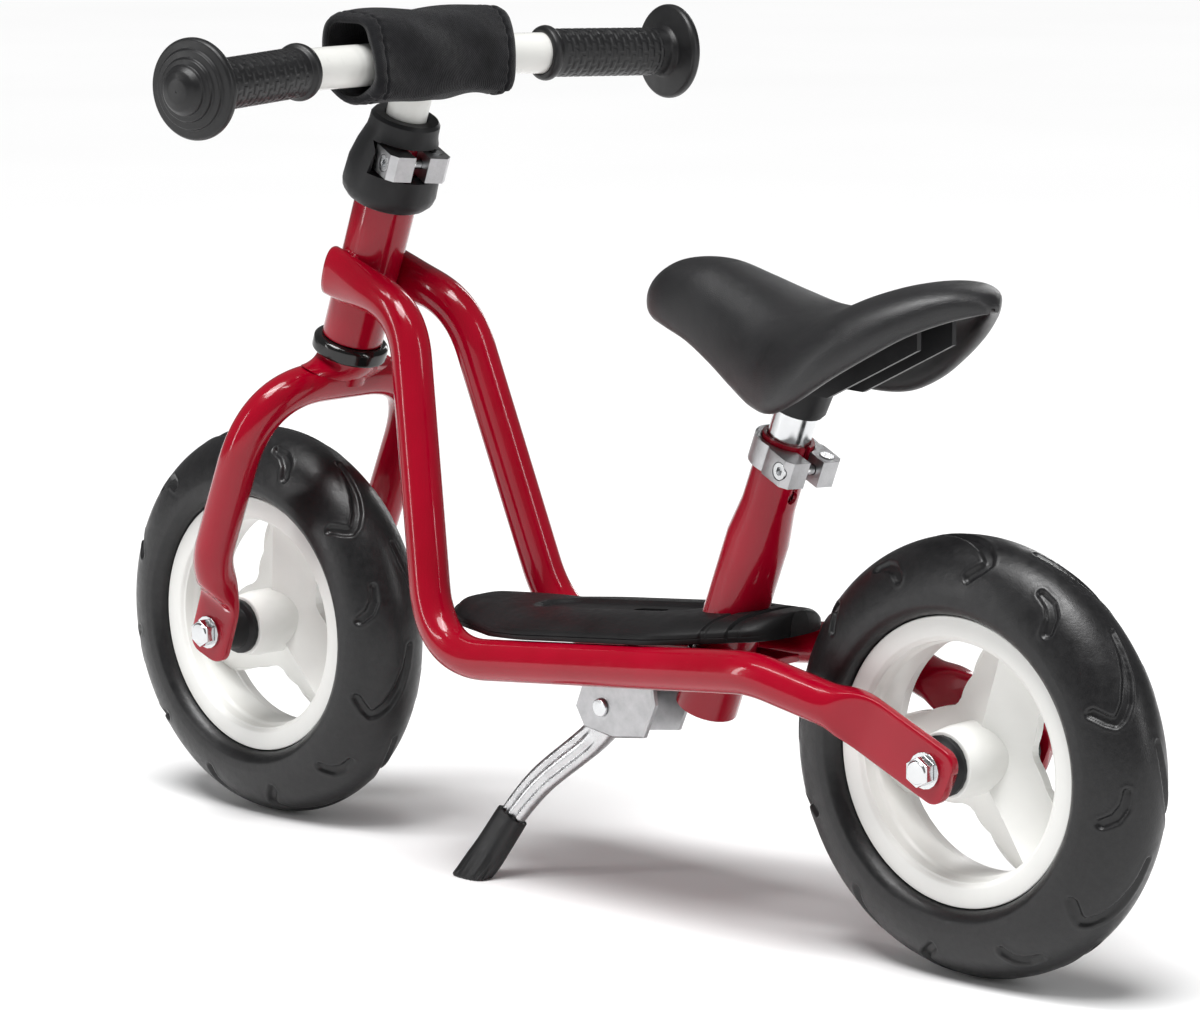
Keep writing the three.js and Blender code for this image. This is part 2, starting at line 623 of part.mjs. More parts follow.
// ---- kickstand ----
function kickBracket() {
  const shape = new THREE.Shape();
  shape.moveTo(-3, 117);
  shape.lineTo(5, 97);
  shape.lineTo(-1, 87);
  shape.lineTo(-22, 84);
  shape.lineTo(-43, 87);
  shape.lineTo(-51, 105);
  shape.lineTo(-49, 117);
  const cheek = new THREE.ExtrudeGeometry(shape, { depth: 28, bevelEnabled: true, bevelSize: 1,
    bevelThickness: 1, bevelSegments: 1, bevelOffset: -1 });
  cheek.rotateX(Math.PI / 2).translate(0, 14, 0);
  const channel = block(-60, 30, -8.5, 9.2, 70, 110);
  const mouth = block(-60, -20, -11.6, 11.6, 70, 112);
  const pinHole = rod(3.4, -30, 30, 16).translate(KICK_PIVOT.x, 0, KICK_PIVOT.z);
  return cut(solid(cheek), channel, mouth, pinHole);
}

function kickLeg() {
  const spots = [v3(-14, 0, 99), v3(1, 4, 80), v3(30, 13.5, 54), v3(46, 20, 33), v3(50.5, 22.8, 24)];
  const path = new THREE.CatmullRomCurve3(spots);
  const section = (f) => ({ half: [mix(7.2, 4.6, smooth(0, 0.35, f)), mix(8.6, 6.2, f)], square: 3.2 });
  const arm = swept(path, evenly(10), v3(0, 1, 0), section, 12);
  const knuckle = rod(9.5, -7.8, 7.8, 24).translate(KICK_PIVOT.x, 0, KICK_PIVOT.z);
  const hole = rod(3.4, -30, 30, 16).translate(KICK_PIVOT.x, 0, KICK_PIVOT.z);
  return cut(join(arm, knuckle), hole);
}

function kickFoot() {
  const along = v3(0.43, 0.33, -0.84).normalize();
  const side = v3(0, 1, 0).addScaledVector(along, -along.y).normalize();
  const front = along.clone().cross(side);
  const top = ringAt(v3(46.2, 20.3, 32.2), side, front, [6.6, 8.6], 3, 20);
  const middle = ringAt(v3(55.4, 26.8, 15), side, front, [6.8, 9.4], 3, 20);
  const sole = ringAt(FOOT_CENTRE, v3(0, 1, 0), v3(1, 0, 0), [7, 11.5], 3, 20);
  const socket = kickLegClearance();
  return cut(solid(loft([top, middle, sole])), socket);
}

function kickLegClearance() {
  const spots = [v3(30, 13.5, 54), v3(46, 20, 33), v3(50.8, 23, 23.6)];
  const path = new THREE.CatmullRomCurve3(spots);
  return swept(path, evenly(5), v3(0, 1, 0), () => ({ half: [5.2, 7.2], square: 3.2 }), 12);
}

function kickPin() {
  const pin = rod(3.1, -16.5, 16.5, 16);
  const head = turnedSolid([[0, 15.3], [5, 15.3], [4.6, 16.8], [0, 17.6]], 16);
  const tail = turnedSolid([[0, -17.6], [4.6, -16.8], [5, -15.3], [0, -15.3]], 16);
  return join(pin, head, tail).translate([KICK_PIVOT.x, 0, KICK_PIVOT.z]);
}

// ---- assembly ----
add('head_tube', atHead(pipe(HEAD_TUBE.outer, HEAD_TUBE.inner, 0, HEAD_TUBE.length, 36)), PAINT);
const leftTube = geometryOf(frameTube());
add('frame_tube_left', leftTube, PAINT);
add('frame_tube_right', mirrored(leftTube), PAINT);
add('seat_tube', solid(atSeat(geometryOf(seatTube()))), PAINT);
add('seat_crossplate', crossplate(-108, -64, 129, 133, atSeat(rod(16.3, -20, 60, 28))), PAINT);
add('kickstand_crossplate', crossplate(-52, 10, 118, 122, null), PAINT);
add('footboard', footboard(), BLACK_PLASTIC);

add('fork_blades', forkBlades(), PAINT);
add('fork_crown', crownCone(), PAINT);
add('steerer_tube', steererTube(), PAINT);
add('headset_lower_ring', atHead(turned([
  [STEERER.outer + GAP, -9.4], [19.4, -9.4], [20.4, -8.4], [20.4, -2.2], [18.6, -0.4],
  [STEERER.outer + GAP, -0.4],
])), GLOSS_BLACK);
add('headset_upper_ring', atHead(pipe(19.8, STEERER.outer + GAP, 80.4, 88, 28)), STEEL);
add('headset_cover', headsetCover(), BLACK_PLASTIC);
const stem = clampParts(atHead, { inner: 13, outer: 16.4, from: 102, to: 116, back: 26,
  half: 18.2, turn: 14 });
add('stem_clamp', stem.clamp, ALUMINIUM);
add('stem_clamp_bolt', stem.bolt, ZINC);
add('stem_clamp_nut', stem.nut, ZINC);
add('handlebar_stem', stemTube(), WHITE_PAINT);
add('handlebar_crossbar', crossbar(), WHITE_PAINT);
const leftGrip = grip();
add('grip_left', leftGrip, RUBBER);
add('grip_right', mirrored(leftGrip), RUBBER);
add('bar_pad', barPad(), FABRIC);

add('seat_post', atSeat(pipe(POST_RADIUS, 9.4, 60, 203, 24)), ZINC);
const seat = clampParts(atSeat, { inner: 13.9, outer: 16.8, from: 138, to: 152, back: 24.5,
  half: 17.5, turn: 9 });
add('seat_clamp', seat.clamp, ALUMINIUM);
add('seat_clamp_bolt', seat.bolt, ZINC);
add('seat_clamp_nut', seat.nut, ZINC);
add('saddle_shell', saddleShell(), BLACK_PLASTIC);
add('saddle_base', saddleBase(), BLACK_PLASTIC);

add('kickstand_bracket', kickBracket(), ALUMINIUM);
add('kickstand_leg', kickLeg(), ALUMINIUM);
add('kickstand_foot', kickFoot(), RUBBER);
add('kickstand_pin', kickPin(), STEEL);

wheel('front', FRONT_X, DROPOUT.frontInner, 100);
wheel('rear', REAR_X, DROPOUT.rearInner, 111);

export default group;
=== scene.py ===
"""Balance bike: looks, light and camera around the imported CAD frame."""

import math

import bmesh
import bpy
import numpy as np
from mathutils import Matrix, Vector


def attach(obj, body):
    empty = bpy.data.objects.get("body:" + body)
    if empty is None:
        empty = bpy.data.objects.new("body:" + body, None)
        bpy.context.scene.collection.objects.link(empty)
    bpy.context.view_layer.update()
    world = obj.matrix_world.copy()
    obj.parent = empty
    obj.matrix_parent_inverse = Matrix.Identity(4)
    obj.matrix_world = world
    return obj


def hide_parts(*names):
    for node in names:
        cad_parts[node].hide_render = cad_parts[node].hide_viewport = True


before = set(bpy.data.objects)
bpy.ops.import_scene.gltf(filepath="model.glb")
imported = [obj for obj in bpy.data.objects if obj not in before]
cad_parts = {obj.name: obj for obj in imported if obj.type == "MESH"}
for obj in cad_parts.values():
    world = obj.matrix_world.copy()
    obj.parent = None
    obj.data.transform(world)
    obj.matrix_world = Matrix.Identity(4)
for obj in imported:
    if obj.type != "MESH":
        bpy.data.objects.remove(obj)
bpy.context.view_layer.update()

# Lengths are in millimetres, and named angles in degrees, except for the floor, light and camera.
MM = 0.001
WHEEL_X = {"front": 250.0, "rear": -250.0}
AXLE_Z = 107.5
TUBE = 10.8  # radius of the rails and of the fork
TUBE_SIDES = 56
RAIL_Y = 46.0
PLATE_HALF = 2.8  # half the thickness of the tubes' flattened ends
PLATE_TALL = 14.5  # half the height of those ends
PLATE_TIP = 8.0  # how far their rounded tips reach
REAR_PLATE_Y = 34 + PLATE_HALF
FORK_PLATE_Y = 44 + PLATE_HALF
HEAD_RADIUS = 16.5
HEAD_LENGTH = 80


# ---- frames: local x forward, y up the tube, z to the right ----
def leaning(angle, origin):
    """The frame of a tube that leans back, from its angle above the ground and its lower end."""
    a = math.radians(angle)
    basis = [[math.sin(a), 0, math.cos(a)], [-math.cos(a), 0, math.sin(a)], [0, -1, 0]]
    return np.array(basis), np.array(origin, float)


HEAD = leaning(70, (184.9, 0, 270.8))
SEAT = leaning(69, (-73.4, 0, 106))
WHEEL = {k: (np.eye(3), np.array([x, 0, AXLE_Z])) for k, x in WHEEL_X.items()}


def to(place, points):
    """Points from a local frame, in the bike's own."""
    return np.asarray(points, float) @ place[0] + place[1]


def unit(v):
    v = np.asarray(v, float)
    return v / np.linalg.norm(v)


def smooth(a, b, x):
    t = np.clip((np.asarray(x, float) - a) / (b - a), 0, 1)
    return t * t * (3 - 2 * t)


def mix(a, b, t):
    return a + (b - a) * t


def circle(count):
    """Even angles round a circle."""
    return np.arange(count) / count * 2 * math.pi


def power(v, exponent):
    """A power that keeps the sign. On a cosine and a sine it turns a circle into a rounded box."""
    return np.sign(v) * np.abs(v) ** exponent


def bell(v, centre, width):
    """One at the centre, falling away to nothing on both sides."""
    return np.exp(-(((v - centre) / width) ** 2))


# ---- shapes are (points in mm, faces) ----
def merge(*shapes):
    points, faces, base = [], [], 0
    for p, f in shapes:
        points.append(np.asarray(p, float))
        faces += [tuple(i + base for i in face) for face in f]
        base += len(p)
    return np.vstack(points), faces


def mirrored(shape):
    points, faces = shape
    return points * np.array([1, -1, 1]), [tuple(reversed(f)) for f in faces]


def grid(rows, cols, wrap_rows, wrap_cols):
    faces = []
    for r in range(rows if wrap_rows else rows - 1):
        r2 = (r + 1) % rows
        for c in range(cols if wrap_cols else cols - 1):
            c2 = (c + 1) % cols
            faces.append((r * cols + c, r * cols + c2, r2 * cols + c2, r2 * cols + c))
    return faces


def rounded(profile, radius, steps=4, closed=True):
    pts = np.array(profile, float)
    n, out = len(pts), []
    for i in range(n):
        if not closed and i in (0, n - 1):
            out.append(pts[i])
            continue
        p, a, b = pts[i], pts[i - 1], pts[(i + 1) % n]
        la, lb = np.linalg.norm(a - p), np.linalg.norm(b - p)
        r = min(radius, 0.45 * la, 0.45 * lb)
        p0, p1 = p + (a - p) / la * r, p + (b - p) / lb * r
        for t in np.linspace(0, 1, steps + 1):
            out.append((1 - t) ** 2 * p0 + 2 * t * (1 - t) * p + t * t * p1)
    return np.array(out)


def lathe(profile, segments=96, place=None, radius=0.6):
    """A closed ring of revolution about local y. The profile is (radius, height) pairs."""
    p = rounded(profile, radius, 3)
    a = circle(segments)
    r, s = p[:, 0], p[:, 1]
    pts = np.stack([np.outer(np.cos(a), r), np.outer(np.ones_like(a), s), np.outer(np.sin(a), r)], -1)
    pts = pts.reshape(-1, 3)
    return (to(place, pts) if place else pts), grid(segments, len(p), True, True)


def loft(rings):
    """A closed solid through rings of equal count, with a flat cap at each end."""
    rings = np.asarray(rings, float)
    rows, cols = rings.shape[:2]
    faces = grid(rows, cols, False, True)
    faces += [tuple(range(cols))[::-1], tuple(range((rows - 1) * cols, rows * cols))]
    return rings.reshape(-1, 3), faces


def resample(points, step):
    """Even points along a line, and how far along it each one is, from 0 to 1."""
    points = np.asarray(points, float)
    seg = np.linalg.norm(np.diff(points, axis=0), axis=1)
    cum = np.concatenate([[0], np.cumsum(seg)])
    n = max(2, int(round(cum[-1] / step)) + 1)
    s = np.linspace(0, cum[-1], n)
    return np.stack([np.interp(s, cum, points[:, k]) for k in range(3)], 1), s / cum[-1]


def bent_path(points, radii, step):
    """A line through corner points, each corner rounded by its radius."""
    pts = [np.array(p, float) for p in points]
    out, start = [], pts[0]
    for i in range(1, len(pts) - 1):
        back, on = unit(pts[i - 1] - pts[i]), unit(pts[i + 1] - pts[i])
        reach = radii[i - 1] * math.tan((math.pi - math.acos(float(np.clip(back @ on, -1, 1)))) / 2)
        a, b = pts[i] + back * reach, pts[i] + on * reach
        out += [start + (a - start) * t for t in np.linspace(0, 1, 30)]
        out += [(1 - t) ** 2 * a + 2 * t * (1 - t) * pts[i] + t * t * b for t in np.linspace(0, 1, 30)[1:]]
        start = b
    out += [start + (pts[-1] - start) * t for t in np.linspace(0, 1, 30)[1:]]
    return resample(out, step)


def spline(table, count):
    """Catmull-Rom through the rows of a table."""
    rows = np.vstack([2 * table[0] - table[1], table, 2 * table[-1] - table[-2]])
    out = []
    for q in np.linspace(0, len(table) - 1, count):
        i = min(int(q), len(table) - 2)
        t = q - i
        a, b, c, d = rows[i], rows[i + 1], rows[i + 2], rows[i + 3]
        square, cube = 2 * a - 5 * b + 4 * c - d, 3 * b - a - 3 * c + d
        out.append(0.5 * (2 * b + (c - a) * t + square * t * t + cube * t ** 3))
    return np.array(out)


def tip(station, way):
    """Stations beyond a flattened end, which shrink to a rounded tip."""
    p, t, f, _ = station
    return [(p + way * unit(t) * PLATE_TIP * math.sin(q), t, f,
             (PLATE_TALL - PLATE_TIP + PLATE_TIP * math.cos(q)) / PLATE_TALL)
            for q in np.linspace(0.2, math.pi / 2, 9)]


def swept(path, direction, section, tips=(False, False)):
    """Sweeps a superellipse along a path. section(f) gives two half sizes and the squareness."""
    points, fs = path
    tangents = np.gradient(points, axis=0)
    angle = circle(TUBE_SIDES)
    c, s = np.cos(angle), np.sin(angle)
    rings = []
    stations = [(p, t, f, 1.0) for p, t, f in zip(points, tangents, fs)]
    if tips[0]:
        stations = tip(stations[0], -1)[::-1] + stations
    if tips[1]:
        stations += tip(stations[-1], 1)
    for p, t, f, scale in stations:
        t = unit(t)
        side = unit(direction - (direction @ t) * t)
        up = np.cross(t, side)
        h0, h1, square = section(f)
        wide, tall = (h0 * scale, h1) if h0 > h1 else (h0, h1 * scale)
        a = wide * power(c, 2 / square)
        b = tall * power(s, 2 / square)
        rings.append(p + np.outer(a, side) + np.outer(b, up))
    return loft(rings)


def bead(points, radius, ripple=0.25):
    """A rippled weld bead along a closed line."""
    pitch, sides = 3.0, 10
    closed = np.vstack([points, points[:1]])
    pts = resample(closed, 0.8)[0][:-1]
    length = np.linalg.norm(np.diff(closed, axis=0), axis=1).sum()
    tangent = np.roll(pts, -1, 0) - np.roll(pts, 1, 0)
    rings = []
    for i, (p, t) in enumerate(zip(pts, tangent)):
        t = unit(t)
        side = unit(np.cross(t, [0.31, 0.52, 0.79]))
        up = np.cross(t, side)
        r = radius * (1 + ripple * math.sin(i / len(pts) * length / pitch * 2 * math.pi))
        a = circle(sides)
        rings.append(p + np.outer(np.cos(a) * r, side) + np.outer(np.sin(a) * r, up))
    rings = np.array(rings)
    return rings.reshape(-1, 3), grid(len(rings), sides, True, True)


# ---- objects ----
def add_object(name, data):
    obj = bpy.data.objects.new(name, data)
    bpy.context.scene.collection.objects.link(obj)
    return obj


def add_solid(name, shape):
    """An object from a shape, with its faces turned outward."""
    points, faces = shape
    mesh = bpy.data.meshes.new(name)
    mesh.from_pydata((np.asarray(points) * MM).tolist(), [], faces)
    bm = bmesh.new()
    bm.from_mesh(mesh)
    bmesh.ops.recalc_face_normals(bm, faces=bm.faces)
    bm.to_mesh(mesh)
    bm.free()
    return add_object(name, mesh)


def shade_smooth(mesh, sharp_angle=None):
    """Smooth shading, which breaks at edges sharper than the angle."""
    mesh.polygons.foreach_set("use_smooth", np.ones(len(mesh.polygons), bool))
    if sharp_angle:
        mesh.set_sharp_from_angle(angle=math.radians(sharp_angle))


def piece(name, shape, body, look, replaces=(), flat=None):
    obj = add_solid(name, shape)
    shade_smooth(obj.data, flat)
    obj.data.materials.append(look)
    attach(obj, body)
    if replaces:
        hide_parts(*replaces)
    return obj


def polish(node, look, width=0.25, angle=38, segments=2):
    """Keeps a CAD node's shape, rounds its sharp edges a little and shades it smooth."""
    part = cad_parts[node]
    if part.data.has_custom_normals:
        part.data.attributes.remove(part.data.attributes["custom_normal"])
    part.data.materials.clear()
    part.data.materials.append(look)
    shade_smooth(part.data)
    weld = part.modifiers.new("weld", "WELD")
    weld.merge_threshold = 2e-5
    planar = part.modifiers.new("planar", "DECIMATE")
    planar.decimate_type = "DISSOLVE"
    planar.angle_limit = math.radians(0.6)
    edges = part.modifiers.new("edges", "BEVEL")
    edges.width = width * MM
    edges.segments = segments
    edges.limit_method = "ANGLE"
    edges.angle_limit = math.radians(angle)
    edges.harden_normals = True


# ---- materials ----
class Nodes:
    """One material's node tree, built with short calls. Noise sizes and bump depths are in mm."""

    def __init__(self, name):
        self.mat = bpy.data.materials.new(name)
        self.mat.use_nodes = True
        self.tree = self.mat.node_tree
        self.shader = self.tree.nodes["Principled BSDF"]
        self.coords = self.add("ShaderNodeTexCoord").outputs["Object"]

    def add(self, kind, **values):
        node = self.tree.nodes.new(kind)
        for key, value in values.items():
            if key[0].isupper():
                node.inputs[key.replace("_", " ")].default_value = value
            else:
                setattr(node, key, value)
        return node

    def link(self, a, b):
        self.tree.links.new(a, b)

    def noise(self, size, detail=3.0, rough=0.55):
        node = self.add("ShaderNodeTexNoise", Scale=1 / (size * MM), Detail=detail, Roughness=rough)
        self.link(self.coords, node.inputs["Vector"])
        return node.outputs["Fac"]

    def ramp(self, source, a, b, low=0.3, high=0.7):
        node = self.add("ShaderNodeMapRange", From_Min=low, From_Max=high, To_Min=a, To_Max=b)
        self.link(source, node.inputs["Value"])
        return node.outputs["Result"]

    def blend(self, fac, a, b):
        node = self.add("ShaderNodeMix", data_type="RGBA")
        self.link(fac, node.inputs["Factor"])
        for key, value in (("A", a), ("B", b)):
            socket = [s for s in node.inputs if s.name == key and s.type == "RGBA"][0]
            if isinstance(value, (tuple, list)):
                socket.default_value = (*value, 1)
            else:
                self.link(value, socket)
        return [s for s in node.outputs if s.type == "RGBA"][0]

    def color(self, value):
        if isinstance(value, (tuple, list)):
            self.shader.inputs["Base Color"].default_value = (*value, 1)
        else:
            self.link(value, self.shader.inputs["Base Color"])

    def rough(self, source):
        self.link(source, self.shader.inputs["Roughness"])

    def bump(self, height, depth, after=None):
        node = self.add("ShaderNodeBump", Strength=1.0, Distance=depth * MM)
        self.link(height, node.inputs["Height"])
        if after:
            self.link(after, node.inputs["Normal"])
        return node.outputs["Normal"]

    def normal(self, source):
        self.link(source, self.shader.inputs["Normal"])

    def set(self, **values):
        for key, value in values.items():
            self.shader.inputs[key.replace("_", " ")].default_value = value


def paint(name, deep, light, rough=0.17):
    n = Nodes(name)
    n.color(n.blend(n.ramp(n.noise(38, 2), 0, 1), deep, light))
    n.rough(n.ramp(n.noise(9, 3), rough - 0.04, rough + 0.07))
    n.normal(n.bump(n.noise(2.6, 2), 0.035))
    n.set(Coat_Weight=0.42, Coat_Roughness=0.03, Specular_IOR_Level=0.2)
    return n.mat


def moulded(name, base, rough=0.5, grain=0.55, depth=0.05, spread=0.12, vary=0.35, spec=0.5):
    n = Nodes(name)
    light = tuple(c * (1 + vary) + 0.002 for c in base)
    n.color(n.blend(n.ramp(n.noise(22, 4), 0, 1), base, light))
    n.rough(n.ramp(n.noise(6, 4), rough - spread / 2, rough + spread / 2))
    first = n.bump(n.noise(grain, 2, 0.6), depth)
    n.normal(n.bump(n.noise(14, 2), depth * 1.6, first))
    n.set(Specular_IOR_Level=spec)
    return n.mat


def metal(name, base, rough, grain, depth, spread=0.16, dirt=0.25):
    n = Nodes(name)
    dull = tuple(c * (1 - dirt) for c in base)
    n.color(n.blend(n.ramp(n.noise(7, 5, 0.65), 0, 1), dull, base))
    n.rough(n.ramp(n.noise(3.5, 4, 0.6), rough - spread / 2, rough + spread / 2))
    n.normal(n.bump(n.noise(grain, 4, 0.6), depth))
    n.set(Metallic=1.0)
    return n.mat


def foam(name):
    n = Nodes(name)
    mottled = n.ramp(n.noise(3.2, 6, 0.7), 0, 1, 0.35, 0.7)
    n.color(n.blend(mottled, (0.006, 0.006, 0.0066), (0.012, 0.0116, 0.0124)))
    n.rough(n.ramp(n.noise(5, 5, 0.65), 0.29, 0.44))
    first = n.bump(n.noise(0.9, 3, 0.6), 0.06)
    n.normal(n.bump(n.noise(7, 3), 0.16, first))
    n.set(Specular_IOR_Level=0.42)
    return n.mat


def twill(name):
    """Black polyester twill: diagonal ribs on a fine thread grid."""
    n = Nodes(name)
    turn = n.add("ShaderNodeMapping")
    turn.inputs["Rotation"].default_value = (0.5, 0.2, 0.78)
    n.link(n.coords, turn.inputs["Vector"])
    ribs = n.add("ShaderNodeTexWave", Scale=1 / (2.2 * MM), Distortion=1.2, Detail=2.0, wave_profile="SIN")
    n.link(turn.outputs["Vector"], ribs.inputs["Vector"])
    threads = n.add("ShaderNodeTexWave", Scale=1 / (1.3 * MM), Distortion=0.8, Detail=1.0,
                    bands_direction="Y")
    n.link(n.coords, threads.inputs["Vector"])
    n.color(n.blend(n.ramp(n.noise(11, 5), 0, 1), (0.006, 0.006, 0.007), (0.014, 0.014, 0.016)))
    n.rough(n.ramp(n.noise(4, 4), 0.7, 0.88))
    first = n.bump(ribs.outputs["Fac"], 0.12)
    second = n.bump(threads.outputs["Fac"], 0.06, first)
    n.normal(n.bump(n.noise(9, 3), 0.5, second))
    n.set(Sheen_Weight=0.14, Sheen_Roughness=0.4, Specular_IOR_Level=0.16)
    return n.mat


def skin(name):
    """Satin foam skin with a fine leather-like grain."""
    n = Nodes(name)
    cells = n.add("ShaderNodeTexVoronoi", Scale=1 / (1.1 * MM), feature="DISTANCE_TO_EDGE")
    n.link(n.coords, cells.inputs["Vector"])
    n.color(n.blend(n.ramp(n.noise(30, 4), 0, 1), (0.007, 0.007, 0.0078), (0.013, 0.0127, 0.0138)))
    n.rough(n.ramp(n.noise(12, 4), 0.33, 0.43))
    grain = n.bump(n.ramp(cells.outputs["Distance"], 0, 1, 0.0, 0.12), 0.045)
    n.normal(n.bump(n.noise(20, 3), 0.3, grain))
    n.set(Specular_IOR_Level=0.55)
    return n.mat


RED = paint("red_powder_coat", (0.29, 0.0004, 0.011), (0.34, 0.0006, 0.015))
WHITE_PAINT = paint("white_powder_coat", (0.74, 0.74, 0.71), (0.80, 0.80, 0.77), 0.3)
WHITE = moulded("white_nylon", (0.80, 0.80, 0.775), 0.36, 2.0, 0.03, 0.1, 0.03)
BLACK = moulded("black_polypropylene", (0.010, 0.010, 0.0108), 0.44, 0.5, 0.06, 0.12, 0.35, 0.26)
BOARD_LOOK = moulded("board_plastic", (0.006, 0.0058, 0.0062), 0.48, 0.7, 0.1, 0.14, 0.5, 0.2)
GLOSSY = moulded("gloss_black_plastic", (0.005, 0.005, 0.005), 0.14, 3.0, 0.01, 0.06)
RUBBER = moulded("black_rubber", (0.007, 0.007, 0.0076), 0.4, 0.6, 0.05, 0.12, 0.4, 0.42)
FOAM = foam("tyre_foam")
FABRIC = twill("black_twill")
SKIN = skin("saddle_skin")
CAST = metal("die_cast_aluminium", (0.52, 0.52, 0.53), 0.36, 0.8, 0.12)
BRIGHT = metal("ground_aluminium", (0.66, 0.66, 0.67), 0.28, 1.8, 0.02)
ZINC = metal("zinc_plate", (0.72, 0.73, 0.74), 0.2, 0.9, 0.012, spread=0.12, dirt=0.12)
STEEL = metal("plain_steel", (0.5, 0.5, 0.5), 0.32, 0.8, 0.02)


# ---- wheels ----
def segment_distance(a, w, line):
    """Distance from points (a, w) to a broken line, and how far along it the nearest point is."""
    line = np.array(line, float)
    seg = np.linalg.norm(np.diff(line, axis=0), axis=1)
    cum = np.concatenate([[0], np.cumsum(seg)])
    best, along = np.full(a.shape, 1e9), np.zeros(a.shape)
    for i in range(len(seg)):
        d = line[i + 1] - line[i]
        t = np.clip(((a - line[i][0]) * d[0] + (w - line[i][1]) * d[1]) / seg[i] ** 2, 0, 1)
        dist = np.hypot(a - line[i][0] - t * d[0], w - line[i][1] - t * d[1])
        better = dist < best
        best = np.where(better, dist, best)
        along = np.where(better, (cum[i] + t * seg[i]) / cum[-1], along)
    return best, along


# The tread, on the unrolled tyre: two curved grooves, repeated round it six times on each side.
HOOK = [(0, 1), (12, 3), (24, 6.5), (34, 11), (40, 15.5), (42, 18.5), (40, 22), (34, 28)]
COMMA = [(77, 17.5), (85, 18.5), (91, 22), (95, 28)]
TREAD_RADIUS = 107.0
TREAD_INSIDE = 73  # nothing is cut inside this radius
TREAD_START = {"front": 60, "rear": 78}
PITCH = 112.05


def groove_depth(a, w):
    """Depth of the tread at unrolled places: a along the tyre, w across it from the middle."""
    total = np.zeros(a.shape)
    for side in (1, -1):
        around = np.mod(a + (0 if side > 0 else PITCH / 2), PITCH)
        for shift in (0, -PITCH):
            for line, thin, wide, deep in ((HOOK, 1.5, 2.9, 2.0), (COMMA, 2.2, 3.1, 1.8)):
                dist, along = segment_distance(around + shift, w * side, line)
                half = mix(thin, wide, smooth(0, 0.55, along))
                total -= deep * (1 - smooth(half - 1.1, half + 0.3, dist))
                total += 0.22 * np.exp(-(((dist - half - 1.2) / 0.8) ** 2))
    return total


def tyre(which):
    corners = [(60.4, -14.5), (71.2, -14.5), (71.25, -18.4), (72.6, -21.2), (74.6, -23.2), (76.8, -24.6)]
    arc = [(76 + 31.5 * math.cos(t), 25 * math.sin(t)) for t in np.radians(np.linspace(-80, 80, 90))]
    lower = rounded([*corners, arc[0]], 1.6, 4, closed=False)[:-1]
    outline = np.vstack([lower, arc, (lower * [1, -1])[::-1]])
    # A shallow ring in each side wall, outside the bead.
    r, y = outline[:, 0], outline[:, 1]
    dip = 0.7 * bell(r, 82.5, 2.6) * (np.abs(y) > 12)
    outline = np.stack([r, y - np.sign(y) * dip], 1)
    step = np.linalg.norm(np.diff(outline, axis=0), axis=1)
    across = np.concatenate([[0], np.cumsum(step)])
    across -= across[-1] / 2
    tangent = np.gradient(outline, axis=0)
    normal = np.stack([tangent[:, 1], -tangent[:, 0]], 1)
    normal /= np.linalg.norm(normal, axis=1)[:, None]
    turns = 720
    angle = circle(turns)
    a, w = np.meshgrid((angle - math.radians(TREAD_START[which])) * TREAD_RADIUS, across, indexing="ij")
    depth = groove_depth(a, w) * (r[None, :] > TREAD_INSIDE)
    rr = r[None, :] + depth * normal[None, :, 0]
    yy = y[None, :] + depth * normal[None, :, 1]
    pts = np.stack([rr * np.cos(angle)[:, None], yy, rr * np.sin(angle)[:, None]], -1)
    shape = (to(WHEEL[which], pts.reshape(-1, 3)), grid(turns, len(outline), True, True))
    piece(f"{which}_tyre_foam", shape, f"{which}_wheel", FOAM, [f"{which}_tyre"])


# One side of an arm, seen along the axle: distance along the arm, and half its width there.
ARM_SIDE = [(62, 16.8), (54, 18), (32, 21.5), (18.5, 23.6), (15.4, 24.4), (13.6, 25.4)]
ARM_TURN = {"front": 100.0, "rear": 111.0}
ARM_START, ARM_END = 14, 58.5  # inside the hub's wall and inside the barrel's
RIDGE_AT_HUB, RIDGE_AT_RIM, ARM_EDGE = 5.5, 10.2, -5.5  # heights along the axle


def star_reach(phi):
    """How far the star reaches at an angle from its nearest arm's middle."""
    along, half = np.array(ARM_SIDE)[::-1].T
    angles, radii = np.arctan2(half, along), np.hypot(along, half)
    return np.minimum(np.interp(phi, angles[::-1], radii[::-1]), ARM_END)


def star():
    """Three arms folded like a roof: a crisp ridge, flat flanks, an open back."""
    turns, steps = 432, 26
    theta = circle(turns)
    phi = np.abs(np.mod(theta + math.pi / 3, 2 * math.pi / 3) - math.pi / 3)
    outward = 1 - (1 - np.linspace(0, 1, steps)) ** 1.3
    r = ARM_START + (star_reach(phi)[:, None] - ARM_START) * outward
    across, along = r * np.sin(phi)[:, None], r * np.cos(phi)[:, None]
    to_edge, _ = segment_distance(along, across, ARM_SIDE)
    share = across / (across + to_edge + 1e-6)
    ridge = mix(RIDGE_AT_HUB, RIDGE_AT_RIM, np.clip((along - 17) / 41, 0, 1))
    height = mix(ridge, ARM_EDGE, share ** 0.92)
    x, z = r * np.cos(theta)[:, None], r * np.sin(theta)[:, None]
    front = np.stack([x, height, z], -1)
    back = np.stack([x, np.minimum(height - 3.4, -8.4 + 0.3 * height), z], -1)[:, ::-1]
    return np.concatenate([front, back], 1).reshape(-1, 3), grid(turns, 2 * steps, True, True)


def turn_y(shape, degrees):
    """Turns a shape about the axle."""
    a = math.radians(degrees)
    m = np.array([[math.cos(a), 0, math.sin(a)], [0, 1, 0], [-math.sin(a), 0, math.cos(a)]])
    return shape[0] @ m, shape[1]


def both_sides(profile):
    """A profile of one side of a wheel, followed by its mirror image."""
    half = np.array(profile, float)
    return np.vstack([half, (half * [1, -1])[::-1]])


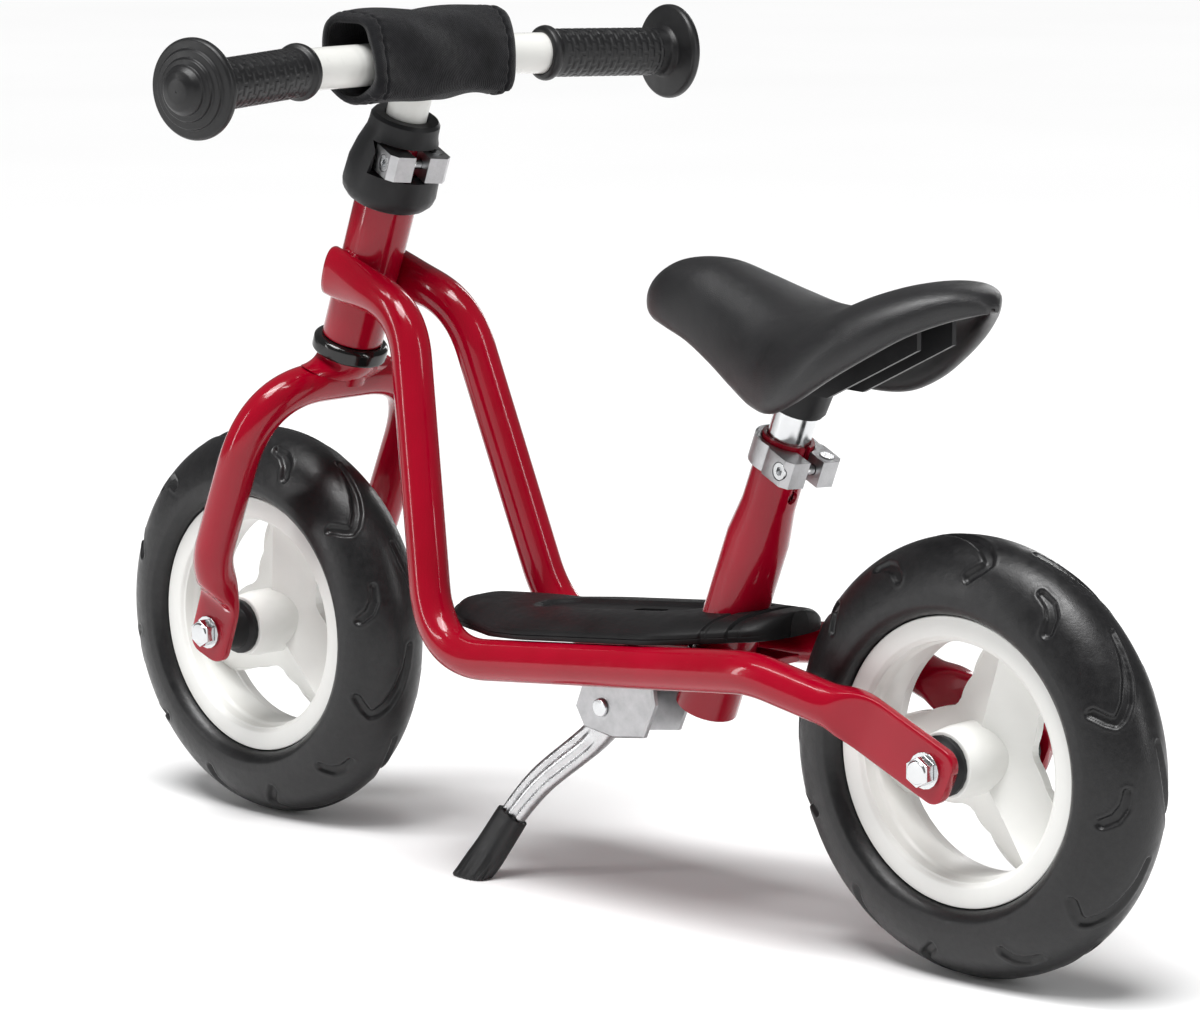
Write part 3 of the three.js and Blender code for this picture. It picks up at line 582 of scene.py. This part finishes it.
BARREL = [(59.9, -14.8), (70.7, -14.8), (70.7, -17.8), (60.7, -17.8), (59.2, -15.9), (58.4, -15.6),
          (58.2, -10), (56.8, -8)]
HUB = [(11.3, -26), (16.4, -26), (17.8, -15)]


def rim(which):
    barrel = lathe(both_sides(BARREL), 180, None, 0.9)
    hub = lathe(both_sides(HUB), 96, None, 1.0)
    points, faces = merge(barrel, hub, turn_y(star(), ARM_TURN[which]))
    piece(f"{which}_rim_casting", (to(WHEEL[which], points), faces), f"{which}_wheel",
          WHITE, [f"{which}_rim"], flat=24)


for wheel_name in ("front", "rear"):
    tyre(wheel_name)
    rim(wheel_name)
    polish(f"{wheel_name}_axle", STEEL, 0.2)
    for side_name in ("left", "right"):
        polish(f"{wheel_name}_bearing_{side_name}", STEEL, 0.2)
        polish(f"{wheel_name}_hub_cover_{side_name}", BLACK, 0.4)
        polish(f"{wheel_name}_axle_washer_{side_name}", ZINC, 0.2)
        polish(f"{wheel_name}_axle_bolt_{side_name}", ZINC, 0.35)


# ---- frame ----
RAIL_WELD = (181, 18.5, 309)
RAIL_SHOULDER = (120.5, 20, 292)
RAIL_CORNER_X = 74.5
RAIL_BEND_X = -146
RAIL_DROP = (-206, REAR_PLATE_Y, 126)
PINCH_HALF, PINCH_TALL = 6, 13.5  # the flattened end at the head tube


def rail_z(x):
    """Height of the straight stretch's middle line, which rises to the rear."""
    return 129.5 - 0.105 * (x + 40)


def frame_tube():
    """One rail: pinched at the head tube, round along the board, a plate at the axle."""
    points = [RAIL_WELD, RAIL_SHOULDER, (RAIL_CORNER_X, RAIL_Y + 1, rail_z(RAIL_CORNER_X)),
              (RAIL_BEND_X, RAIL_Y, rail_z(RAIL_BEND_X)), RAIL_DROP]
    axle = np.array([WHEEL_X["rear"], REAR_PLATE_Y, AXLE_Z])
    points.append(tuple(axle + unit(axle - RAIL_DROP) * 6))
    path = bent_path(points, [44, 44, 60, 60], 2.2)

    def section(f):
        front = 1 - smooth(0, 0.08, f)
        rear = smooth(0.865, 0.925, f)
        half = mix(mix(TUBE, PINCH_HALF, front), PLATE_HALF, rear)
        tall = mix(mix(TUBE, PINCH_TALL, front), PLATE_TALL, rear)
        return half, tall, 2 + 0.5 * front + 5 * smooth(0.875, 0.915, f)

    return swept(path, np.array([0, 1.0, 0]), section, tips=(False, True))


left_tube = frame_tube()
piece("left_rail", left_tube, "frame", RED, ["frame_tube_left"])
piece("right_rail", mirrored(left_tube), "frame", RED, ["frame_tube_right"])


HEAD_TUBE = [(HEAD_RADIUS, 0), (HEAD_RADIUS, HEAD_LENGTH), (14, HEAD_LENGTH), (14, 0)]
piece("head_tube_shell", lathe(HEAD_TUBE, 128, HEAD, 0.7), "frame", RED, ["head_tube"], flat=50)


def rail_end(side):
    """The outline of a rail's pinched end where it meets the head tube."""
    radius, middle, half, tall = HEAD_RADIUS - 0.1, 37.5, 6.4, 13.8
    t = circle(60)
    angle = half * power(np.cos(t), 0.6) / radius
    height = middle + tall * power(np.sin(t), 0.6)
    return to(HEAD, np.stack([radius * np.sin(angle), height, side * radius * np.cos(angle)], 1))


def seat_ring(height):
    """A circle on the seat tube."""
    radius, t = 16.2, circle(90)
    return to(SEAT, np.stack([radius * np.cos(t), np.full_like(t, height), radius * np.sin(t)], 1))


def welds():
    beads = [bead(rail_end(side), 1.2, 0.18) for side in (1, -1)]
    beads += [bead(seat_ring(height), 1.3) for height in (25.5, 29.6)]
    return merge(*beads)


piece("frame_welds", welds(), "frame", RED)
polish("seat_tube", RED, 0.35)
polish("seat_crossplate", RED, 0.6)
polish("kickstand_crossplate", RED, 0.6)


# ---- footboard ----
BOARD_FRONT, BOARD_TAPER, BOARD_REAR = 100, -70, -136
BOARD_HALF, TAIL_HALF = 49, 30
BOARD_EDGE, BOARD_CROWN = 6.5, 6
NOSE = spline(np.array([
    (-20, BOARD_HALF), (10, BOARD_HALF), (25, 46.5), (40, 42.5), (55, 37.5), (70, 31.5), (82, 25), (91, 17.5),
    (97, 9), (BOARD_FRONT, 1.5)]), 120)


def board_half(x):
    """Half the board's width: a rounded nose, parallel sides, a tail that narrows and rounds off."""
    if x > 0:
        return float(np.interp(x, NOSE[:, 0], NOSE[:, 1]))
    if x > BOARD_TAPER:
        return BOARD_HALF
    t = (BOARD_TAPER - x) / (BOARD_TAPER - BOARD_REAR)
    return mix(BOARD_HALF, TAIL_HALF, smooth(0, 0.9, t)) * math.sqrt(max(0.05, 1 - t ** 9))


def band_depth(x):
    """Two sunk bands behind the seat tube, which run over the sides too."""
    return float(1.1 * (1 - smooth(1.2, 1.9, abs(x + 104))) + 1.4 * (1 - smooth(2.6, 3.3, abs(x + 118))))


def footboard():
    """A crowned board lying on the rails, with a rounded recess in its top and a fine groove in each side."""
    rings = []
    even = mix(BOARD_FRONT, BOARD_REAR, (1 - np.cos(np.linspace(0, math.pi, 161))) / 2)
    rest = [x for x in even if not -123.5 < x < -100.5]
    for x in sorted([*rest, *np.linspace(-123, -101, 56)], reverse=True):
        sunk = band_depth(x)
        half = max(board_half(x) - sunk, 1)
        base = rail_z(min(x, 40)) + TUBE + 0.5 - 1.5 * float(smooth(45, 100, x))
        lift = 2.2 * float(smooth(66, 100, x))
        side = [(-0.955, 0), (-0.99, 0.06), (-1.0, 0.3), (-1.0, 0.42), (-0.992, 0.46), (-1.0, 0.5),
                (-0.996, 0.72), (-0.98, 0.88), (-0.955, 0.98)]
        ring = [(x, -a * half, base + max(b * BOARD_EDGE, lift * (1 - b))) for a, b in side]
        for a in np.linspace(-0.93, 0.93, 61):
            top = BOARD_EDGE + BOARD_CROWN * (1 - (a / 0.955) ** 4) - sunk
            top -= BOARD_EDGE * float(smooth(80, 101, x)) ** 2
            reach = math.hypot(max(0, abs(x + 15) - 42), a * half)
            top -= 2.3 * (1 - float(smooth(12.5, 15.5, reach)))
            ring.append((x, -a * half, base + top))
        ring += [(x, a * half, base + max(b * BOARD_EDGE, lift * (1 - b))) for a, b in reversed(side)]
        rings.append(ring)
    return loft(rings)


board = piece("footboard_tread", footboard(), "frame", BOARD_LOOK, ["footboard"])


def cut(obj, shape):
    """Takes a closed shape out of a piece, and applies it."""
    tool = add_solid("cutter", shape)
    modifier = obj.modifiers.new("cut", "BOOLEAN")
    modifier.operation = "DIFFERENCE"
    modifier.solver = "MANIFOLD"
    modifier.object = tool
    bpy.context.view_layer.update()
    made = bpy.data.meshes.new_from_object(obj.evaluated_get(bpy.context.evaluated_depsgraph_get()))
    obj.modifiers.clear()
    look = obj.data.materials[0]
    obj.data = made
    made.materials.clear()
    made.materials.append(look)
    bpy.data.objects.remove(tool)


def slot_prism(x0, x1, radius, z0, z1):
    """An upright prism whose outline is a slot with round ends."""
    a = np.linspace(math.pi / 2, 3 * math.pi / 2, 12)
    outline = [(x0 + radius + radius * math.cos(t), radius * math.sin(t)) for t in a]
    outline += [(x1 - radius - radius * math.cos(t), -radius * math.sin(t)) for t in a]
    return loft([[(x, y, z) for x, y in outline] for z in (z0, z1)])


SLOT_REAR, SLOT_FRONT = -46, -24
rail_top = rail_z((SLOT_REAR + SLOT_FRONT) / 2) + TUBE
cut(board, slot_prism(SLOT_REAR, SLOT_FRONT, 3.8, rail_top - 6, rail_top + 30))
shade_smooth(board.data, 40)


# ---- fork and steering ----
def head_at(x, s, right):
    return tuple(to(HEAD, [[x, s, right]])[0])


ARCH_HALF, ARCH_TOP = 61, -25  # the arch's middle line: half its width, and its top below the head tube


def fork():
    """One tube from axle to axle: a plate at each end, round over the arch."""
    spots = [(FORK_PLATE_Y, -181.7), (FORK_PLATE_Y, -156), (ARCH_HALF, -128), (ARCH_HALF, ARCH_TOP)]

    def point(w, s):
        return head_at(4.7 * float(smooth(-40, -110, s)), s, -w)

    left = [point(w, s) for w, s in spots]
    right = [point(-w, s) for w, s in reversed(spots)]
    path = bent_path([*left, *right], [24, 40, 46, 46, 40, 24], 2.2)
    forward = np.array(HEAD[0][0])

    def section(f):
        end = 1 - float(smooth(0.06, 0.115, min(f, 1 - f)))
        return mix(TUBE, PLATE_TALL, end), mix(TUBE, PLATE_HALF, end), 2 + 4 * end

    return swept(path, forward, section, tips=(True, True))


piece("fork_arch", fork(), "fork", RED, ["fork_blades"], flat=50)


def crown_weld():
    """A smooth fillet that spreads from the steerer along the top of the arch."""
    t = circle(96)
    c, s = np.cos(t), np.sin(t)
    top = np.stack([16.3 * c, np.full_like(t, -9.9), 16.3 * s], 1)
    x = 10.3 * power(c, 0.8)
    low = ARCH_TOP + np.sqrt(TUBE ** 2 - x ** 2) - 0.35
    foot = np.stack([x, low, 31 * s], 1)
    bend = np.stack([15.2 * c, mix(low + 6, low + 0.5, s ** 2), 16.6 * s], 1)
    return loft([to(HEAD, (1 - u) ** 2 * top + 2 * u * (1 - u) * bend + u * u * foot)
                 for u in np.linspace(0, 1, 22)])


piece("fork_crown_weld", crown_weld(), "fork", RED, ["fork_crown"], flat=60)
STEERER = [(12.7, -24), (12.7, 119), (11.3, 119), (11.3, -24)]
piece("steerer_shell", lathe(STEERER, 96, HEAD, 0.3), "fork", RED, ["steerer_tube"])
LOWER_RING = [(13, -9.4), (19.4, -9.4), (20.4, -8.4), (20.4, -2.2), (18.6, -0.4), (13, -0.4)]
piece("lower_ring", lathe(LOWER_RING, 96, HEAD, 0.9), "fork", GLOSSY, ["headset_lower_ring"])
polish("headset_upper_ring", GLOSSY, 0.3)
polish("headset_cover", BLACK, 0.9, 30, 3)
for part, look in (("clamp", CAST), ("clamp_bolt", ZINC), ("clamp_nut", ZINC)):
    polish(f"stem_{part}", look, 0.5 if part == "clamp" else 0.2)
    polish(f"seat_{part}", look, 0.5 if part == "clamp" else 0.2)

# ---- handlebar ----
BAR = np.array([129.5, 0, 421.5])
BAR_RADIUS = 11
BAR_CORNER = np.array([BAR[0], 72, BAR[2]])
DISC = np.array([112, 172.3, 418.0])  # middle of the left grip's safety disc
BAR_WAY = unit(DISC - BAR_CORNER)


def crossbar():
    end = DISC + BAR_WAY
    flip = np.array([1, -1, 1])
    path = bent_path([end * flip, BAR_CORNER * flip, BAR_CORNER, end], [60, 60], 3)
    return swept(path, np.array([0, 0, 1.0]), lambda f: (BAR_RADIUS, BAR_RADIUS, 2))


piece("crossbar_tube", crossbar(), "handlebar", WHITE_PAINT, ["handlebar_crossbar"])
polish("handlebar_stem", WHITE_PAINT, 0.3, 50)


SLEEVE, SLEEVE_INSIDE, DISC_RADIUS, GRIP_END = 12.7, 11.1, 25.6, -87
GRIP_PROFILE = [
    (0.02, 14), (6, 13.4), (10, 11.8), (12.3, 9.2), (12.6, 7.4), (15.6, 7), (16, 4.8), (19.8, 4.6),
    (20.2, 2.6), (24.6, 2.2), (DISC_RADIUS, 0.6), (DISC_RADIUS, -1.8), (24.6, -3.4), (14, -4.6),
    (SLEEVE, -7.5), (SLEEVE, -80.5), (14.6, -82), (15, -84), (14.4, -86.2), (13, GRIP_END),
    (SLEEVE_INSIDE, GRIP_END), (SLEEVE_INSIDE, -60), (SLEEVE_INSIDE, 1.5), (0.02, 1.5)]


def bricks(around, s):
    """A plain brick pattern on the sleeve: one on each brick, nothing between them."""
    first, row_pitch, per_turn = -78, 4.2, 12
    rows = (s - first) / row_pitch
    u = np.mod(around * per_turn + 0.5 * np.mod(np.floor(rows), 2), 1) - 0.5
    v = np.mod(rows, 1) - 0.5
    return (np.abs(u) < 0.36) * (1 - smooth(0.24, 0.34, np.abs(v)))


def grip():
    """A rubber sleeve that ends in a stepped safety disc."""
    p = rounded(GRIP_PROFILE, 0.7, 3)
    fine = []
    for a, b in zip(p, np.roll(p, -1, 0)):
        on_sleeve = a[0] > 12 and b[0] > 12 and a[1] < -7
        n = max(1, int(abs(b[1] - a[1]) / 0.45)) if on_sleeve else 1
        fine += [a + (b - a) * k / n for k in range(n)]
    p = np.array(fine)
    turns = 240
    angle = circle(turns)
    r = np.tile(p[:, 0], (turns, 1))
    s = np.tile(p[:, 1], (turns, 1))
    band = smooth(-77, -76, s) * (1 - smooth(-14, -13, s)) * (np.abs(r - SLEEVE) < 0.3)
    r = r + band * 0.34 * bricks(angle[:, None] / (2 * math.pi), s)
    local = np.stack([r * np.cos(angle)[:, None], s, r * np.sin(angle)[:, None]], -1).reshape(-1, 3)
    side = unit(np.cross(BAR_WAY, [0, 0, 1]))
    basis = np.array([side, BAR_WAY, np.cross(side, BAR_WAY)])
    return local @ basis + DISC, grid(turns, len(p), True, True)


left_grip = grip()
piece("grip_left_rubber", left_grip, "handlebar", RUBBER, ["grip_left"])
piece("grip_right_rubber", mirrored(left_grip), "handlebar", RUBBER, ["grip_right"])


PAD_HALF, STITCH_Y, PAD_WALL = 50, 43.8, 3.4


def pad():
    """A stitched tube of padded cloth round the bar, with a lapped seam below and a dent for the stem."""
    rng = np.random.default_rng(7)
    waves = [(round(rng.uniform(1, 5)), rng.uniform(0.04, 0.14), rng.uniform(0, 6.28), rng.uniform(0.1, 0.42))
             for _ in range(10)]
    t = circle(180)
    c, s = np.cos(t), np.sin(t)

    def tunnel(lines, inset):
        """One face of the cloth. Only the outer face shows the stitches and the seam."""
        rings = []
        outer = inset == 0
        for y in lines:
            edge = float(smooth(47.2, PAD_HALF, abs(y)))
            stitch = bell(abs(y), STITCH_Y, 0.8) * outer
            fold = sum(h * np.sin(k * t + q * y + o) for k, q, o, h in waves)
            pucker = 0.35 * np.sin(t * 24 + 0.6) * bell(abs(y), STITCH_Y, 3.5) * outer
            below = bell(t, 1.5 * math.pi, 0.5) * bell(y, 0, 15)
            lap = 1.5 * (1 - smooth(3.98, 4.02, t)) * smooth(3.3, 3.9, t) * outer
            out = fold * 1.5 + pucker - 0.9 * stitch - 2.0 * below + lap - inset
            deep, tall = 21.6 - 1.1 * edge + out, 24 - 1.1 * edge + out
            x = deep * power(c, 2 / 2.6)
            z = tall * power(s, 2 / 2.6)
            rings.append(np.stack([BAR[0] + x, np.full_like(x, y), BAR[2] + 3.5 + z], 1))
        return rings

    near_stitch = np.linspace(41.5, 46, 12)
    lines = sorted({*np.linspace(-PAD_HALF, PAD_HALF, 91), *-near_stitch, *near_stitch})
    rings = np.array(tunnel(lines, 0) + tunnel(lines, PAD_WALL)[::-1])
    return rings.reshape(-1, 3), grid(len(rings), len(t), True, True)


bar_pad = piece("bar_pad_wrap", pad(), "handlebar", FABRIC, ["bar_pad"])

# ---- saddle ----
# Stations from nose to tail: x, half the width, and the heights of the crown and of the lower edge.
SADDLE = np.array([
    (-42, 4, 314, 308), (-46, 14, 322, 305), (-54, 21, 329, 302.5), (-66, 26, 333.5, 300),
    (-85, 30, 334, 294.5), (-105, 34.5, 329, 285.5), (-125, 41, 323, 276.5), (-145, 49, 317.5, 270),
    (-163, 56.5, 316.5, 270), (-180, 59, 320.5, 277.5), (-198, 56, 327.5, 289.5), (-215, 48, 332.5, 301),
    (-230, 37, 334.5, 311), (-243, 23, 334, 317.5), (-252, 11, 330.5, 320.5), (-256, 5, 326, 321.5)])
SADDLE_WALL = 11.5


def saddle():
    """A thick foam shell: crowned on top, hollow below, its lower edge rolled under."""
    rings = []
    for x, half, crown, edge in spline(SADDLE, 141):
        half, depth = max(half, 0.6), max(crown - edge, 1)
        hollow = float(smooth(14, 34, min(half, depth * 1.6)))
        lip = min(SADDLE_WALL * 0.55, depth * 0.42, half * 0.5)
        inner_half = max(half * 0.3, half - SADDLE_WALL)
        t = np.linspace(0, math.pi, 61)
        c, s = np.cos(t), np.sin(t)
        outer = np.stack([half * power(c, 0.85), edge + lip + (depth - lip) * np.abs(s) ** 0.9], 1)
        rise = max(0.4, (depth - SADDLE_WALL - lip) * hollow)
        inner = np.stack([inner_half * c, edge + lip + rise * np.abs(s) ** 0.9], 1)[::-1]
        q = np.linspace(0, math.pi, 11)[1:-1]
        middle, reach = (half + inner_half) / 2, (half - inner_half) / 2
        arc = np.stack([middle + reach * np.cos(q), edge + lip - lip * np.sin(q)], 1)
        ring = np.vstack([outer, arc * [-1, 1], inner, arc[::-1]])
        rings.append(np.column_stack([np.full(len(ring), x), ring]))
    return loft(rings)


saddle_cover = piece("saddle_cover", saddle(), "seat", SKIN, ["saddle_shell"], flat=60)
polish("saddle_base", BLACK, 0.7, 30, 3)
polish("seat_post", ZINC, 0.3, 50)

# ---- kickstand ----
polish("kickstand_bracket", CAST, 0.8, 25, 3)
polish("kickstand_pin", ZINC, 0.4)


PIVOT = np.array([-14, 0, 99.0])
LEG = np.array([PIVOT, (1, 4, 80), (30, 13.5, 54), (46, 20, 33), (50.5, 22.8, 24.2)])
KNUCKLE = [(3.4, -7.8), (9.5, -7.8), (9.5, 7.8), (3.4, 7.8)]


def kick_leg():
    """A bent cast leg with two grooves along each face, and a knuckle round the pin."""
    line = spline(LEG, 70)
    tangent = np.gradient(line, axis=0)
    a = circle(200)
    c, s = np.cos(a), np.sin(a)
    rings = []
    for f, p, t in zip(np.arange(len(line)) / (len(line) - 1), line, tangent):
        t = unit(t)
        side = unit(np.array([0, 1.0, 0]) - t[1] * t)
        up = np.cross(t, side)
        half, tall = mix(7.2, 4.6, float(smooth(0, 0.35, f))), mix(8.6, 6.2, f)
        x = half * power(c, 2 / 3.4)
        y = tall * power(s, 2 / 3.4)
        groove = 1.1 * (bell(y, tall * 0.4, 1.25) + bell(y, -tall * 0.4, 1.25))
        grooved = float(smooth(0.22, 0.3, f) * (1 - smooth(0.86, 0.92, f)))
        x = x - np.sign(x) * groove * (np.abs(x) > half * 0.6) * grooved
        rings.append(p + np.outer(x, side) + np.outer(y, up))
    return merge(loft(rings), lathe(KNUCKLE, 64, (np.eye(3), PIVOT), 0.8))


piece("kickstand_casting", kick_leg(), "kickstand", BRIGHT, ["kickstand_leg"], flat=50)


# Stations down the foot: its middle, two half sizes, and how far it has turned level with the ground.
FOOT = np.array([
    (46, 20.2, 33, 6.3, 8.1, 0), (46.5, 20.5, 32, 6.7, 8.5, 0), (54.8, 26.4, 15.5, 6.8, 9.0, 0.15),
    (60.6, 31.2, 4.5, 7.1, 10.6, 0.75), (62.6, 32.6, 1.2, 7.1, 11.5, 1), (63, 33, 0.1, 6.7, 11.1, 1)])


def kick_foot():
    """A rubber boot that spreads into a ribbed sole."""
    along = unit([0.43, 0.33, -0.84])
    side = unit(np.array([0, 1.0, 0]) - along[1] * along)
    front = np.cross(along, side)
    t = circle(72)
    c, s = np.cos(t), np.sin(t)
    rings = []
    for x, y, z, h0, h1, flat in spline(FOOT, 50):
        a = h0 * power(c, 2 / 3.2)
        b = h1 * power(s, 2 / 3.2)
        flat = min(max(flat, 0), 1)
        notch = 1 - 0.05 * flat * (np.sin(26 * t) > 0)
        a, b = a * notch, b * notch
        d0, d1 = mix(side, np.array([0, 1.0, 0]), flat), mix(front, np.array([1.0, 0, 0]), flat)
        ring = np.array([x, y, z]) + np.outer(a, unit(d0)) + np.outer(b, unit(d1))
        ring[:, 2] = np.maximum(ring[:, 2], 0.05)
        rings.append(ring)
    return loft(rings)


piece("kickstand_boot", kick_foot(), "kickstand", RUBBER, ["kickstand_foot"], flat=55)


# ---- floor, light, camera ----
# Places are in metres from here on.
FLOOR_HALF = 14.0
FLOOR_DROP = 0.0004
MIDDLE = (0, 0, 0.25)
AZIMUTH, ELEVATION, ROLL = 46.06, 9.89, -0.27
CAMERA_PLACE = (-1.5886, 1.6492, 0.5956)
SUN_WAY = (0.12, -0.3, -1)
AMBIENT = 0.17


def floor():
    mesh = bpy.data.meshes.new("floor")
    r = FLOOR_HALF
    mesh.from_pydata([(-r, -r, 0), (r, -r, 0), (r, r, 0), (-r, r, 0)], [], [(0, 1, 2, 3)])
    look = Nodes("white_floor")
    look.color(look.blend(look.ramp(look.noise(900, 2), 0, 1), (0.93, 0.93, 0.93), (0.95, 0.95, 0.95)))
    look.set(Roughness=0.8, Specular_IOR_Level=0.2)
    mesh.materials.append(look.mat)
    obj = add_object("floor", mesh)
    obj.location.z = -FLOOR_DROP


def aim(obj, way):
    """Points a light's beam along a direction."""
    obj.rotation_mode = "QUATERNION"
    obj.rotation_quaternion = Vector(way).to_track_quat("-Z", "Y")


def strip(name, place, size, energy):
    data = bpy.data.lights.new(name, "AREA")
    data.shape = "RECTANGLE"
    data.size, data.size_y = size
    data.energy = energy
    obj = add_object(name, data)
    obj.location = place
    aim(obj, Vector(MIDDLE) - Vector(place))


def studio():
    """White to the camera, dim as a light, with one broad sun from above and four soft strips."""
    world = bpy.data.worlds.new("studio")
    bpy.context.scene.world = world
    world.use_nodes = True
    tree = world.node_tree
    dim = tree.nodes["Background"]
    dim.inputs["Color"].default_value = (1, 1, 1, 1)
    dim.inputs["Strength"].default_value = AMBIENT
    seen = tree.nodes.new("ShaderNodeBackground")
    seen.inputs["Strength"].default_value = 1.0
    path, blend = tree.nodes.new("ShaderNodeLightPath"), tree.nodes.new("ShaderNodeMixShader")
    tree.links.new(path.outputs["Is Camera Ray"], blend.inputs["Fac"])
    tree.links.new(dim.outputs[0], blend.inputs[1])
    tree.links.new(seen.outputs[0], blend.inputs[2])
    tree.links.new(blend.outputs[0], tree.nodes["World Output"].inputs["Surface"])
    seen.inputs["Color"].default_value = (1, 1, 1, 1)
    data = bpy.data.lights.new("sun", "SUN")
    data.energy = 3.0
    data.angle = math.radians(32)
    aim(add_object("sun", data), SUN_WAY)
    strip("top_strip", (-0.2, 0.5, 2.0), (2.0, 0.14), 12)
    strip("left_strip", (1.2, 2.0, 0.9), (0.16, 1.6), 10)
    strip("rear_strip", (-2.2, -0.6, 1.1), (0.16, 1.6), 10)
    strip("far_strip", (0.9, -2.2, 1.0), (0.2, 1.4), 6)
    bpy.context.scene.view_settings.view_transform = "Standard"


def camera():
    """Behind the left side and a little above, looking forward and down."""
    data = bpy.data.cameras.new("camera")
    obj = add_object("camera", data)
    a, e, roll = math.radians(AZIMUTH), math.radians(ELEVATION), math.radians(ROLL)
    way = Vector((math.cos(a) * math.cos(e), -math.sin(a) * math.cos(e), -math.sin(e)))
    right = Vector((-math.sin(a), -math.cos(a), 0))
    up = right.cross(way)
    r2 = right * math.cos(roll) + up * math.sin(roll)
    u2 = up * math.cos(roll) - right * math.sin(roll)
    turn = Matrix((r2, u2, -way)).transposed()
    obj.rotation_mode = "QUATERNION"
    obj.rotation_quaternion = turn.to_quaternion()
    obj.location = CAMERA_PLACE
    data.lens = 136.03
    data.sensor_width = 36
    data.clip_end = 60
    bpy.context.scene.camera = obj


floor()
studio()
camera()
